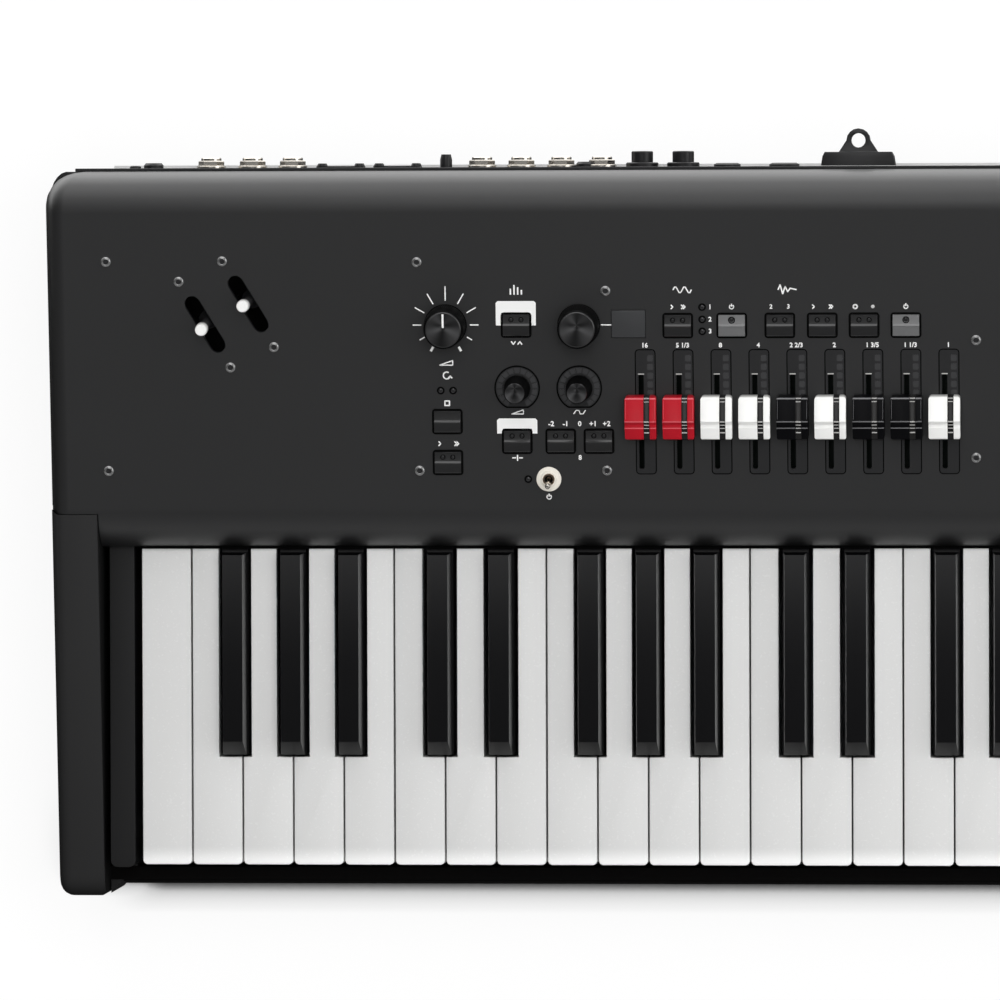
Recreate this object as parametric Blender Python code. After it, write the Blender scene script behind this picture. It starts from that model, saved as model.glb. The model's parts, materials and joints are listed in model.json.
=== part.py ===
"""Stage keyboard with organ drawbars: 73 keys, E to E, as separate pieces on their real joints.

Metres, +Z up, the player at -Y, the low keys at -X. The origin is under the middle of the box
that holds the whole keyboard, at the height of the surface that it stands on.
"""

import math

import bmesh
import bpy
from mathutils import Matrix, Vector

# Fits between neighbouring pieces
FIT = 0.0003
LAYER_GAP = 0.0007

# Keys
KEY_PITCH = 0.0235
KEY_GAP = 0.0008
WHITE_KEYS = 43
KEYS_PER_OCTAVE = 7
WHITE_FRONT_SETBACK = 0.0155
WHITE_HEAD_LENGTH = 0.0499
WHITE_CORNER = 0.0018
KEY_HEIGHT = 0.0200
KEY_TOP_Z = 0.0940
BLACK_CUT_WIDTH_OF_THREE = 0.0152
BLACK_CUT_WIDTH_OF_TWO = 0.0161
BLACK_SPREAD_OF_THREE = 0.0034
BLACK_SPREAD_OF_TWO = 0.0024
BLACK_BASE_WIDTH = 0.0120
BLACK_TOP_WIDTH = 0.0092
BLACK_RISE = 0.0120
BLACK_FRONT_GAP = 0.0012
BLACK_FRONT_RISE = 0.0030
BLACK_FRONT_SLOPE = 0.0064
BLACK_TAIL_SLOPE = 0.0009
BLACK_SUNK = 0.0030
BLACK_TAIL_GAP = 0.0028
KEY_BODY_END = 0.2270
COMB_BAR_Y = 0.2400
COMB_BAR_DEPTH = 0.0120
COMB_BAR_HEIGHT = 0.0042
TONGUE_WIDTH = 0.0080
KEY_FLOOR_CLEARANCE = 0.0140

# End cheeks and the blocks beside the keys
CHEEK_WIDTH = 0.0219
CHEEK_GROOVE = 0.0030
BLOCK_WIDTH = 0.0115
KEY_SIDE_GAP = 0.0037
CHEEK_WALL = 0.0030
CHEEK_BOTTOM_Z = 0.0100
REAR_CORNER_ACROSS = 0.0085
REAR_CORNER_ALONG = 0.0160
CHEEK_FRONT_CORNER = 0.0032
CHEEK_OUTER_ROUND = 0.0085
CHEEK_INNER_ROUND = 0.0010
CHEEK_NOSE = 0.0115
CHEEK_HEEL = 0.0080
CHEEK_TOE = (0.0200, 0.0160)
ARM_DROP = 0.0004
SEAM_AHEAD = 0.0029
SEAM_CORNER = 0.0035
SEAM_STEP = 0.0012

# Case, front to back
BODY_DEPTH = 0.3360
ANCHOR_REACH = 0.0188
FALLBOARD_SETBACK = 0.1628
FALLBOARD_RADIUS = 0.0215
FALLBOARD_EDGE_Z = 0.0953
REAR_ROLL_RADIUS = 0.0170
PANEL_SLOPE_DEG = 8.05
PANEL_FRONT_Z = 0.1145
COVER_THICKNESS = 0.0020
COVER_INSET = 0.0005
COVER_SIDE_ROUND = 0.0085
COVER_REAR_SKIRT = 0.0020
REAR_PANEL_PROUD = 0.0015
REAR_PANEL_THICKNESS = 0.0015
REAR_PANEL_END = 0.0123
REAR_PANEL_FOOT = 0.0240
CASE_BOTTOM_Z = 0.0080
CASE_FLOOR = 0.0025
CASE_FRONT_WALL_Z = 0.0500
SLIP_TOP_SETBACK = 0.0064
SLIP_TOP_DEPTH = 0.0066
SLIP_TOP_ROUND = 0.0015
SLIP_TOP_Z = 0.0720
SLIP_NOSE_SETBACK = 0.0018
SLIP_NOSE_Z = 0.0200
SLIP_CHAMFER = 0.0060
SLIP_BOTTOM_Z = 0.0110
SLIP_CORNER_SETBACK = 0.0006
SLIP_CORNER_WIDTH = 0.0070
BLOCK_AHEAD = 0.0014
BLOCK_CORNER = 0.0030
BLOCK_TOP_DROP = 0.0010
BLOCK_UNDER_FALLBOARD = 0.0250

# Feet
FOOT_RADIUS = 0.0110
FOOT_HEIGHT = 0.0080
FOOT_FROM_END = 0.0700
FOOT_FROM_FRONT = 0.0450
FOOT_FROM_REAR = 0.0500

# Frame that carries the keys
FRAME_SHEET = 0.0016
FRAME_FRONT = 0.0250
FRAME_RAIL_DEPTH = 0.0120
FRAME_DECK_Z = 0.0340
FRAME_RAIL_Z = 0.0580
KNIFE_WIDTH = 0.0060
FRAME_TAIL = 0.0080

# Places on the control panel: distance across, distance up the slope
# Distances across count from a line this far outside the left cheek's inner face
PLACE_LINE = 0.0200
LEVER_SLOT_WIDTH = 0.0076
LEVER_SLOT_LENGTH = 0.0224
LEVER_LEAN_DEG = 30.8
PITCH_LEVER_AT = (0.0715, 0.0854)
MODULATION_LEVER_AT = (0.0916, 0.0948)
LEVER_RADIUS = 0.0022
LEVER_CAP_RADIUS = 0.00315
LEVER_HEIGHT = 0.0175
LEVER_PIVOT_DEPTH = 0.0160
LEVER_HUB_RADIUS = 0.0045
LEVER_EAR_THICKNESS = 0.0030
MODULATION_REST_DEG = 3.0

KNOB_HOLE_RADIUS = 0.0036
SHAFT_RADIUS = 0.0030
SHAFT_DEPTH = 0.0090
LARGE_KNOB_RADIUS = 0.0098
LARGE_KNOB_TOP_RADIUS = 0.0092
LARGE_KNOB_HEIGHT = 0.0154
SMALL_KNOB_RADIUS = 0.0058
SMALL_KNOB_TOP_RADIUS = 0.0044
SMALL_KNOB_HEIGHT = 0.0160
MASTER_VOLUME_AT = (0.1823, 0.0849)
ORGAN_VOICE_AT = (0.2435, 0.0849)
ORGAN_VOLUME_AT = (0.2148, 0.0556)
ORGAN_DRIVE_AT = (0.2433, 0.0556)
MENU_ENCODER_AT = (0.5890, 0.0849)
KEYS_VOICE_AT = (0.6990, 0.0849)
KEYS_VOLUME_AT = (0.6990, 0.0556)

TOGGLE_BALL_RADIUS = 0.0016
TOGGLE_HOLE_RADIUS = TOGGLE_BALL_RADIUS + FIT
TOGGLE_PIVOT_DEPTH = 0.0010
TOGGLE_BAT_LENGTH = 0.0105
TOGGLE_THROW_DEG = 24.0
ORGAN_TOGGLE_AT = (0.2288, 0.0133)
KEYS_TOGGLE_AT = (0.6705, 0.0133)

BUTTON_SIZE = (0.0121, 0.0098)
BUTTON_HOLE_MARGIN = 0.0006
BUTTON_PROUD = 0.0016
BUTTON_TRAVEL = 0.0008
BUTTON_WEB = 0.0016
BUTTON_WEB_WIDTH = 0.0050
MANUAL_WEB_ASIDE = -0.0065
ROTARY_BUTTONS_AT = ((0.1825, 0.0401), (0.1825, 0.0211))
MANUAL_BUTTONS_AT = ((0.2147, 0.0848), (0.2145, 0.0309))
OCTAVE_BUTTONS_AT = ((0.2345, 0.0309), (0.2521, 0.0309))
VIBRATO_BUTTON_ROW_T = 0.0844
VIBRATO_BUTTONS_S = (0.2888, 0.3135, 0.3355, 0.3549, 0.3740, 0.3931)
LIVE_BUTTON_ROW_T = 0.0211
LIVE_BUTTON_FIRST_S = 0.4700
LIVE_BUTTON_PITCH = 0.0190
LIVE_BUTTONS = 8

DRAWBARS = 9
DRAWBAR_FIRST_S = 0.2717
DRAWBAR_PITCH = 0.01736
DRAWBAR_SLOT_WIDTH = 0.0026
DRAWBAR_SLOT_LENGTH = 0.0438
DRAWBAR_SLOT_T = 0.0399
DRAWBAR_REST_T = 0.0425
DRAWBAR_CAP_WIDTH = 0.0144
DRAWBAR_CAP_LENGTH = 0.0202
DRAWBAR_CAP_HEIGHT = 0.0105
DRAWBAR_CAP_LIFT = 0.0012
DRAWBAR_STEM_WIDTH = 0.0014
DRAWBAR_STEM_LENGTH = 0.0050
DRAWBAR_SHOE = 0.0050
DRAWBAR_SHOE_THICKNESS = 0.0020

VOICE_DISPLAY_AT = (0.2662, 0.0852)
VOICE_DISPLAY_SIZE = (0.0154, 0.0125)
MAIN_DISPLAY_AT = (0.5090, 0.0720)
MAIN_DISPLAY_SIZE = (0.0780, 0.0460)
DISPLAY_THICKNESS = 0.0022
DISPLAY_PROUD = 0.0003
DISPLAY_LEDGE = 0.0020

BOSS_RADIUS = 0.0035
BOARD_FIRST_S = 0.1600
BOARD_LAST_S = 0.7600
BOARD_FIRST_T = 0.0060
BOARD_LAST_T = 0.1180
BOARD_THICKNESS = 0.0016
BOARD_DEPTH = 0.0095
BOARD_BOSSES = ((0.1694, 0.1140), (0.1694, 0.0173), (0.4250, 0.1140), (0.4247, 0.0100), (0.7500, 0.1140),
                (0.7500, 0.0173))

# Rear sockets, by distance across
SOCKET_Z = 0.0700
PHONE_JACKS_S = (0.0686, 0.0879, 0.1066, 0.1947, 0.2130, 0.2316, 0.2504)
LINE_JACKS_S = (0.2691, 0.2881)
ROUND_SOCKETS_S = (0.1290, 0.1555)
PHONE_JACK_RADIUS = 0.0048
PHONE_JACK_BORE = 0.0034
PHONE_JACK_PROUD = 0.0050
LINE_JACK_RADIUS = 0.0050
LINE_JACK_PROUD = 0.0074
ROUND_SOCKET_RADIUS = 0.0078
ROUND_SOCKET_BORE = 0.0060
ROUND_SOCKET_PROUD = 0.0004
SOCKET_BORE_DEPTH = 0.0190
SOCKET_PLATE_THICKNESS = 0.0030
SOCKET_PLATE_HEIGHT = 0.0460
SOCKET_PLATE_MARGIN = 0.0126
SOCKET_BODY_DEPTH = 0.0220
SOCKET_BODY_SIDE = 0.0150
JACK_BOARD_THICKNESS = 0.0016
JACK_BOARD_HEIGHT = 0.0300
ANCHOR_S = 0.3704
ANCHOR_WIDTH = 0.0340
ANCHOR_BASE_DEPTH = 0.0080
ANCHOR_BASE_HEIGHT = 0.0140
ANCHOR_Z = 0.0980
ANCHOR_TAB_RADIUS = 0.0055
ANCHOR_EYE_RADIUS = 0.0033
ANCHOR_TAB_THICKNESS = 0.0050
INLET_S = 0.9700
INLET_SIZE = (0.0280, 0.0200)
INLET_DEPTH = 0.0160
INLET_WALL = 0.0030
INLET_PLATE_MARGIN = 0.0120
SUPPLY_SIZE = (0.1400, 0.0400, 0.0400)
SUPPLY_ASIDE = 0.0200
SUPPLY_BEHIND_INLET = 0.0040

# What follows from the sizes above
BODY_WIDTH = WHITE_KEYS * KEY_PITCH - KEY_GAP + 2 * (CHEEK_WIDTH + CHEEK_GROOVE + BLOCK_WIDTH + KEY_SIDE_GAP)
HALF_WIDTH = BODY_WIDTH / 2
FRONT_Y = -(BODY_DEPTH + ANCHOR_REACH) / 2
REAR_Y = FRONT_Y + BODY_DEPTH
SLOPE = math.radians(PANEL_SLOPE_DEG)
FALLBOARD_EDGE_Y = FRONT_Y + FALLBOARD_SETBACK
FALLBOARD_CENTRE_Z = PANEL_FRONT_Z - FALLBOARD_RADIUS * math.cos(SLOPE)
FALLBOARD_LIFT = math.asin((FALLBOARD_EDGE_Z - FALLBOARD_CENTRE_Z) / FALLBOARD_RADIUS)
FALLBOARD_CENTRE_Y = FALLBOARD_EDGE_Y + FALLBOARD_RADIUS * math.cos(FALLBOARD_LIFT)
PANEL_FRONT_Y = FALLBOARD_CENTRE_Y - FALLBOARD_RADIUS * math.sin(SLOPE)
SEAM_Y = PANEL_FRONT_Y - SEAM_AHEAD
REAR_PANEL_Y = REAR_Y + REAR_PANEL_PROUD
CHEEK_INNER_X = HALF_WIDTH - CHEEK_WIDTH
KEY_HALF_WIDTH = (WHITE_KEYS * KEY_PITCH) / 2
KEY_BOTTOM_Z = KEY_TOP_Z - KEY_HEIGHT
PIVOT_Y = FRONT_Y + COMB_BAR_Y
LAYER_STEP = COMB_BAR_HEIGHT + LAYER_GAP
FIRST_LAYER_Z = KEY_BOTTOM_Z + 0.0010
PIVOT_Z = FIRST_LAYER_Z + LAYER_STEP + COMB_BAR_HEIGHT / 2
PLACE_LINE_X = -CHEEK_INNER_X - PLACE_LINE
PANEL_TO_WORLD = (Matrix.Translation((PLACE_LINE_X, PANEL_FRONT_Y, PANEL_FRONT_Z))
                  @ Matrix.Rotation(SLOPE, 4, 'X'))

COLOURS = {
    'cover': ((0.030, 0.031, 0.033), 0.45, 0.0),
    'cheek': ((0.022, 0.022, 0.024), 0.50, 0.0),
    'black_plastic': ((0.012, 0.012, 0.013), 0.40, 0.0),
    'white_key': ((0.66, 0.66, 0.65), 0.30, 0.0),
    'black_key': ((0.010, 0.010, 0.011), 0.30, 0.0),
    'steel': ((0.45, 0.45, 0.46), 0.35, 1.0),
    'nickel': ((0.70, 0.66, 0.60), 0.25, 1.0),
    'rubber': ((0.015, 0.015, 0.015), 0.85, 0.0),
    'board': ((0.02, 0.12, 0.05), 0.55, 0.0),
    'knob': ((0.018, 0.018, 0.020), 0.35, 0.0),
    'lever': ((0.80, 0.80, 0.78), 0.35, 0.0),
    'red_cap': ((0.45, 0.012, 0.020), 0.25, 0.0),
    'white_cap': ((0.80, 0.80, 0.78), 0.25, 0.0),
    'black_cap': ((0.010, 0.010, 0.011), 0.20, 0.0),
    'window': ((0.030, 0.031, 0.034), 0.15, 0.0),
}
DRAWBAR_COLOURS = ('red_cap', 'red_cap', 'white_cap', 'white_cap', 'black_cap', 'white_cap', 'black_cap',
                   'black_cap', 'white_cap')


def clear_scene():
    for thing in list(bpy.data.objects):
        bpy.data.objects.remove(thing, do_unlink=True)


def make_collection(name):
    collection = bpy.data.collections.new(name)
    bpy.context.scene.collection.children.link(collection)
    return collection


def make_materials():
    made = {}
    for name, (colour, roughness, metallic) in COLOURS.items():
        material = bpy.data.materials.new(name)
        material.use_nodes = True
        shader = material.node_tree.nodes['Principled BSDF']
        shader.inputs['Base Color'].default_value = (*colour, 1.0)
        shader.inputs['Roughness'].default_value = roughness
        shader.inputs['Metallic'].default_value = metallic
        made[name] = material
    return made


clear_scene()
PARTS = make_collection('stage_keyboard')
CUTTERS = make_collection('cutters')
MATERIALS = make_materials()


def add_object(name, mesh, matrix=None, collection=None):
    thing = bpy.data.objects.new(name, mesh)
    (collection or CUTTERS).objects.link(thing)
    thing.matrix_world = matrix if matrix is not None else Matrix.Identity(4)
    if collection is not PARTS:
        thing.hide_render = True
        thing.display_type = 'WIRE'
    return thing


def mesh_from(fill):
    mesh = bpy.data.meshes.new('mesh')
    shape = bmesh.new()
    fill(shape)
    shape.to_mesh(mesh)
    shape.free()
    return mesh


def box(low, high, matrix=None):
    """A box between two corners, given in the frame of the matrix."""
    low, high = Vector(low), Vector(high)
    size = high - low

    def fill(shape):
        bmesh.ops.create_cube(shape, size=1.0, matrix=Matrix.Diagonal((*size, 1.0)))
    place = (matrix or Matrix.Identity(4)) @ Matrix.Translation((low + high) / 2)
    return add_object('box', mesh_from(fill), place)


def cone(bottom_radius, top_radius, bottom, top, sides, matrix=None):
    """A round piece along the local Z of the matrix, between two heights."""
    def fill(shape):
        bmesh.ops.create_cone(shape, cap_ends=True, segments=sides, radius1=bottom_radius,
                              radius2=top_radius, depth=top - bottom)
    place = (matrix or Matrix.Identity(4)) @ Matrix.Translation((0, 0, (bottom + top) / 2))
    return add_object('cone', mesh_from(fill), place)


def plate(outline, thickness, matrix):
    """A flat outline in the matrix's XY plane, thickened evenly about that plane."""
    curve = bpy.data.curves.new('outline', 'CURVE')
    curve.dimensions = '2D'
    curve.fill_mode = 'BOTH'
    curve.extrude = thickness / 2
    spline = curve.splines.new('POLY')
    spline.points.add(len(outline) - 1)
    for point, (x, y) in zip(spline.points, outline):
        point.co = (x, y, 0.0, 1.0)
    spline.use_cyclic_u = True
    holder = bpy.data.objects.new('outline', curve)
    CUTTERS.objects.link(holder)
    graph = bpy.context.evaluated_depsgraph_get()
    mesh = bpy.data.meshes.new_from_object(holder.evaluated_get(graph))
    bpy.data.objects.remove(holder, do_unlink=True)
    bpy.data.curves.remove(curve)
    shape = bmesh.new()
    shape.from_mesh(mesh)
    bmesh.ops.remove_doubles(shape, verts=shape.verts, dist=0.00001)
    bmesh.ops.recalc_face_normals(shape, faces=shape.faces)
    shape.to_mesh(mesh)
    shape.free()
    return add_object('plate', mesh, matrix)


def side_plate(outline, low_x, high_x):
    """An outline of (y, z) points, extruded from low_x to high_x."""
    axes = Matrix(((0, 0, 1, (low_x + high_x) / 2), (1, 0, 0, 0), (0, 1, 0, 0), (0, 0, 0, 1)))
    return plate(outline, high_x - low_x, axes)


def floor_plate(outline, low_z, high_z, matrix=None):
    """An outline of (x, y) points, extruded from low_z to high_z."""
    lift = Matrix.Translation((0, 0, (low_z + high_z) / 2))
    return plate(outline, high_z - low_z, (matrix or Matrix.Identity(4)) @ lift)


def bake(thing):
    """Turn an object's modifiers into its mesh."""
    bpy.context.view_layer.update()
    graph = bpy.context.evaluated_depsgraph_get()
    mesh = bpy.data.meshes.new_from_object(thing.evaluated_get(graph))
    thing.modifiers.clear()
    thing.data = mesh
    return thing


def combine(thing, others, operation):
    """Join, cut or intersect an object with others, which are used up."""
    if not others:
        return thing
    tools = bpy.data.collections.new('tools')
    for other in others:
        tools.objects.link(other)
    boolean = thing.modifiers.new(operation.lower(), 'BOOLEAN')
    boolean.operation = operation
    boolean.solver = 'EXACT'
    boolean.operand_type = 'COLLECTION'
    boolean.collection = tools
    bake(thing)
    for other in list(others):
        bpy.data.objects.remove(other, do_unlink=True)
    bpy.data.collections.remove(tools)
    return thing


def union(thing, *others):
    return combine(thing, others, 'UNION')


def cut(thing, *others):
    return combine(thing, others, 'DIFFERENCE')


def finish(thing, name, slot, origin=None, smooth=False):
    """Name a piece, give it its material and put its origin where it turns or slides."""
    mesh = thing.data
    matrix = thing.matrix_world.copy()
    home = Matrix.Translation(origin) if isinstance(origin, (tuple, Vector)) else (origin or Matrix.Identity(4))
    mesh.transform(home.inverted() @ matrix)
    mesh.name = name
    if matrix.determinant() < 0:
        mesh.flip_normals()
    if smooth:
        mesh.shade_smooth()
        mesh.set_sharp_from_angle(angle=math.radians(35))
    mesh.materials.clear()
    mesh.materials.append(MATERIALS[slot])
    for holder in list(thing.users_collection):
        holder.objects.unlink(thing)
    PARTS.objects.link(thing)
    thing.hide_render = False
    thing.display_type = 'TEXTURED'
    thing.matrix_world = home
    thing.name = name
    return thing


def arc(centre, radius, start_deg, end_deg, steps):
    """Points along an arc, both ends included."""
    points = []
    for step in range(steps + 1):
        angle = math.radians(start_deg + (end_deg - start_deg) * step / steps)
        points.append((centre[0] + radius * math.cos(angle), centre[1] + radius * math.sin(angle)))
    return points


def rounded_box_outline(width, length, radius, steps=2):
    """A rectangle with round corners about the origin."""
    x, y = width / 2 - radius, length / 2 - radius
    return (arc((x, y), radius, 0, 90, steps) + arc((-x, y), radius, 90, 180, steps)
            + arc((-x, -y), radius, 180, 270, steps) + arc((x, -y), radius, 270, 360, steps))


def slot_outline(width, centres_apart, steps=4):
    """A slot with round ends about the origin, its length along local Y."""
    radius, reach = width / 2, centres_apart / 2
    return arc((0, reach), radius, 0, 180, steps) + arc((0, -reach), radius, 180, 360, steps)


def panel_place(at, lean_deg=0.0):
    """The frame of a control on the panel: its place, with local Z square to the panel."""
    return PANEL_TO_WORLD @ Matrix.Translation((at[0], at[1], 0)) @ Matrix.Rotation(math.radians(lean_deg), 4, 'Z')


def panel_z(y):
    """The height of the panel's plane over a place front to back."""
    return PANEL_FRONT_Z + (y - PANEL_FRONT_Y) * math.tan(SLOPE)


# Case


def cover_section(inset, steps=8):
    """The cover from the fallboard's lower edge, over the panel, to the foot of the rear roll."""
    front_centre = (FALLBOARD_CENTRE_Y, FALLBOARD_CENTRE_Z)
    rear_y = REAR_Y - REAR_ROLL_RADIUS
    tangent_y = rear_y - REAR_ROLL_RADIUS * math.sin(SLOPE)
    rear_centre = (rear_y, panel_z(tangent_y) - REAR_ROLL_RADIUS * math.cos(SLOPE))
    top = 90 + PANEL_SLOPE_DEG
    return (arc(front_centre, FALLBOARD_RADIUS - inset, 180 - math.degrees(FALLBOARD_LIFT), top, steps)
            + arc(rear_centre, REAR_ROLL_RADIUS - inset, top, 0, steps)
            + [(REAR_Y - inset, rear_centre[1] - COVER_REAR_SKIRT)])


def cover_end_x(y, inset):
    """The half width of the cover at a place front to back: its rear corners are round in plan."""
    along, across = REAR_CORNER_ALONG - inset, REAR_CORNER_ACROSS - inset
    share = min(1.0, max(0.0, y - (REAR_Y - REAR_CORNER_ALONG)) / along)
    return HALF_WIDTH - COVER_INSET - REAR_CORNER_ACROSS + across * math.sqrt(1 - share ** 2)


def cover_columns(inset, bend_steps=5):
    """The cover from its left edge to its right edge, as sections that bend down at both ends."""
    bend = COVER_SIDE_ROUND - inset
    columns = []
    for side in (-1, 1):
        edge = []
        for step in range(bend_steps + 1):
            angle = math.radians(90 * step / bend_steps)
            back_off = bend * (1 - math.sin(angle))
            depth = inset + bend * (1 - math.cos(angle))
            edge.append([(side * (cover_end_x(y, inset) - back_off), y, z) for y, z in cover_section(depth)])
        columns.extend(reversed(edge) if side < 0 else edge)
    return columns


def button_places():
    vibrato = [(s, VIBRATO_BUTTON_ROW_T) for s in VIBRATO_BUTTONS_S]
    live = [(LIVE_BUTTON_FIRST_S + LIVE_BUTTON_PITCH * step, LIVE_BUTTON_ROW_T) for step in range(LIVE_BUTTONS)]
    return {'rotary_buttons': list(ROTARY_BUTTONS_AT), 'manual_buttons': list(MANUAL_BUTTONS_AT),
            'octave_buttons': list(OCTAVE_BUTTONS_AT), 'vibrato_percussion_buttons': vibrato,
            'live_set_buttons': live}


LARGE_KNOBS = {'master_volume_knob': MASTER_VOLUME_AT, 'organ_voice_encoder': ORGAN_VOICE_AT,
               'menu_encoder': MENU_ENCODER_AT, 'keys_voice_encoder': KEYS_VOICE_AT}
SMALL_KNOBS = {'organ_volume_knob': ORGAN_VOLUME_AT, 'organ_drive_knob': ORGAN_DRIVE_AT,
               'keys_volume_knob': KEYS_VOLUME_AT}
TOGGLES = {'organ_toggle': ORGAN_TOGGLE_AT, 'keys_toggle': KEYS_TOGGLE_AT}
LEVERS = {'pitch_lever': PITCH_LEVER_AT, 'modulation_lever': MODULATION_LEVER_AT}
DISPLAYS = {'voice_display': (VOICE_DISPLAY_AT, VOICE_DISPLAY_SIZE),
            'main_display': (MAIN_DISPLAY_AT, MAIN_DISPLAY_SIZE)}


def drawbar_s(index):
    return DRAWBAR_FIRST_S + DRAWBAR_PITCH * index


def panel_cutters():
    """Every opening in the cover, as tools that pass right through the sheet."""
    deep, high = -2.5 * COVER_THICKNESS, COVER_THICKNESS
    tools = []
    for at in LEVERS.values():
        tools.append(floor_plate(slot_outline(LEVER_SLOT_WIDTH, LEVER_SLOT_LENGTH), deep, high,
                                 panel_place(at, LEVER_LEAN_DEG)))
    for at in list(LARGE_KNOBS.values()) + list(SMALL_KNOBS.values()):
        tools.append(cone(KNOB_HOLE_RADIUS, KNOB_HOLE_RADIUS, deep, high, 12, panel_place(at)))
    for at in TOGGLES.values():
        tools.append(cone(TOGGLE_HOLE_RADIUS, TOGGLE_HOLE_RADIUS, deep, high, 12, panel_place(at)))
    hole = rounded_box_outline(BUTTON_SIZE[0] + 2 * BUTTON_HOLE_MARGIN, BUTTON_SIZE[1] + 2 * BUTTON_HOLE_MARGIN,
                               0.0012, 1)
    for places in button_places().values():
        tools.extend(floor_plate(hole, deep, high, panel_place(at)) for at in places)
    slot = rounded_box_outline(DRAWBAR_SLOT_WIDTH, DRAWBAR_SLOT_LENGTH, DRAWBAR_SLOT_WIDTH / 4, 1)
    for index in range(DRAWBARS):
        tools.append(floor_plate(slot, deep, high, panel_place((drawbar_s(index), DRAWBAR_SLOT_T))))
    for at, size in DISPLAYS.values():
        seat = (size[0] + 2 * FIT, size[1] + 2 * FIT)
        through = (size[0] - 2 * DISPLAY_LEDGE, size[1] - 2 * DISPLAY_LEDGE)
        floor = DISPLAY_PROUD - DISPLAY_THICKNESS / 2 - FIT
        place = panel_place(at)
        tools.append(union(box((-seat[0] / 2, -seat[1] / 2, floor), (seat[0] / 2, seat[1] / 2, high), place),
                           box((-through[0] / 2, -through[1] / 2, deep), (through[0] / 2, through[1] / 2, high),
                               place)))
    return tools


def top_panel():
    """A formed sheet: fallboard roll in front, rear roll behind, rounded down at both ends."""
    skins = [cover_columns(0.0), cover_columns(COVER_THICKNESS)]

    def fill(shape):
        outer, inner = [[[shape.verts.new(point) for point in column] for column in skin] for skin in skins]
        across, along = len(outer), len(outer[0])
        for skin in (outer, inner):
            for low, high in zip(skin, skin[1:]):
                for step in range(along - 1):
                    shape.faces.new((low[step], high[step], high[step + 1], low[step + 1]))
        for column in (0, across - 1):
            for step in range(along - 1):
                shape.faces.new((outer[column][step], outer[column][step + 1], inner[column][step + 1],
                                 inner[column][step]))
        for step in (0, along - 1):
            for column in range(across - 1):
                shape.faces.new((outer[column][step], outer[column + 1][step], inner[column + 1][step],
                                 inner[column][step]))
        bmesh.ops.recalc_face_normals(shape, faces=shape.faces)
    panel = add_object('top_panel', mesh_from(fill))

    reach = BODY_DEPTH
    trims = []
    for side in (-1, 1):
        corner = seam_corner(SEAM_CORNER, 350, 270)
        trim = ([(CHEEK_INNER_X - FIT, FRONT_Y - reach), (HALF_WIDTH + reach, FRONT_Y - reach),
                 (HALF_WIDTH + reach, corner[0][1])] + corner + [(CHEEK_INNER_X - FIT, SEAM_Y)])
        trims.append(floor_plate([(side * x, y) for x, y in trim], 0, 2 * PANEL_FRONT_Z))
    cut(panel, *trims)
    cut(panel, *panel_cutters())

    posts = []
    for at in BOARD_BOSSES:
        posts.append(cone(BOSS_RADIUS, BOSS_RADIUS, -BOARD_DEPTH + FIT, -COVER_THICKNESS / 2, 10, panel_place(at)))
    ear_inner = LEVER_HUB_RADIUS + FIT
    for at in LEVERS.values():
        place = panel_place(at, LEVER_LEAN_DEG)
        for side in (-1, 1):
            low, high = sorted((side * ear_inner, side * (ear_inner + LEVER_EAR_THICKNESS)))
            posts.append(box((low, -LEVER_HUB_RADIUS, -LEVER_PIVOT_DEPTH - LEVER_HUB_RADIUS),
                             (high, LEVER_HUB_RADIUS, -COVER_THICKNESS / 2), place))
    union(panel, *posts)
    return finish(panel, 'top_panel', 'cover')


def seam_corner(radius, start_deg, end_deg):
    """The round corner in plan where the cover meets an arm, at the right-hand end."""
    return arc((HALF_WIDTH - COVER_INSET - SEAM_CORNER, SEAM_Y + SEAM_CORNER), radius, start_deg, end_deg, 4)


def cheek_outline():
    """The side view of an end cheek: arm in front, then the shoulder that the cover stands on."""
    arm_end = SEAM_Y + SEAM_CORNER
    shoulder = [point for point in cover_section(COVER_SIDE_ROUND + FIT) if point[0] > arm_end]
    nose = CHEEK_NOSE
    nose_z = panel_z(FRONT_Y + nose) - ARM_DROP
    front = arc((FRONT_Y + nose, nose_z - nose), nose, 180, 90 + PANEL_SLOPE_DEG, 6)
    toe_y, toe_z = CHEEK_TOE
    low_z = shoulder[-1][1] - FIT
    return ([(FRONT_Y + toe_y, CHEEK_BOTTOM_Z), (FRONT_Y, CHEEK_BOTTOM_Z + toe_z)] + front
            + [(arm_end, panel_z(arm_end) - ARM_DROP), (arm_end, shoulder[0][1])]
            + shoulder[:-1] + [(shoulder[-1][0], low_z), (REAR_Y, low_z)]
            + [(REAR_Y, CHEEK_BOTTOM_Z + CHEEK_HEEL), (REAR_Y - CHEEK_HEEL, CHEEK_BOTTOM_Z)])


def corner_tool(centre, across, along, way_x, way_y):
    """What lies outside a round upright corner of a cheek, to be cut away."""
    rim = []
    for step in range(7):
        angle = math.radians(4 + 82 * step / 6)
        rim.append((centre[0] + way_x * across * math.cos(angle), centre[1] + way_y * along * math.sin(angle)))
    far_x = centre[0] + way_x * (across + CHEEK_WIDTH)
    far_y = centre[1] + way_y * (along + CHEEK_WIDTH)
    outline = rim + [(rim[-1][0], far_y), (far_x, far_y), (far_x, rim[0][1])]
    return floor_plate(outline, 0.0, 2 * PANEL_FRONT_Z)


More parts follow.
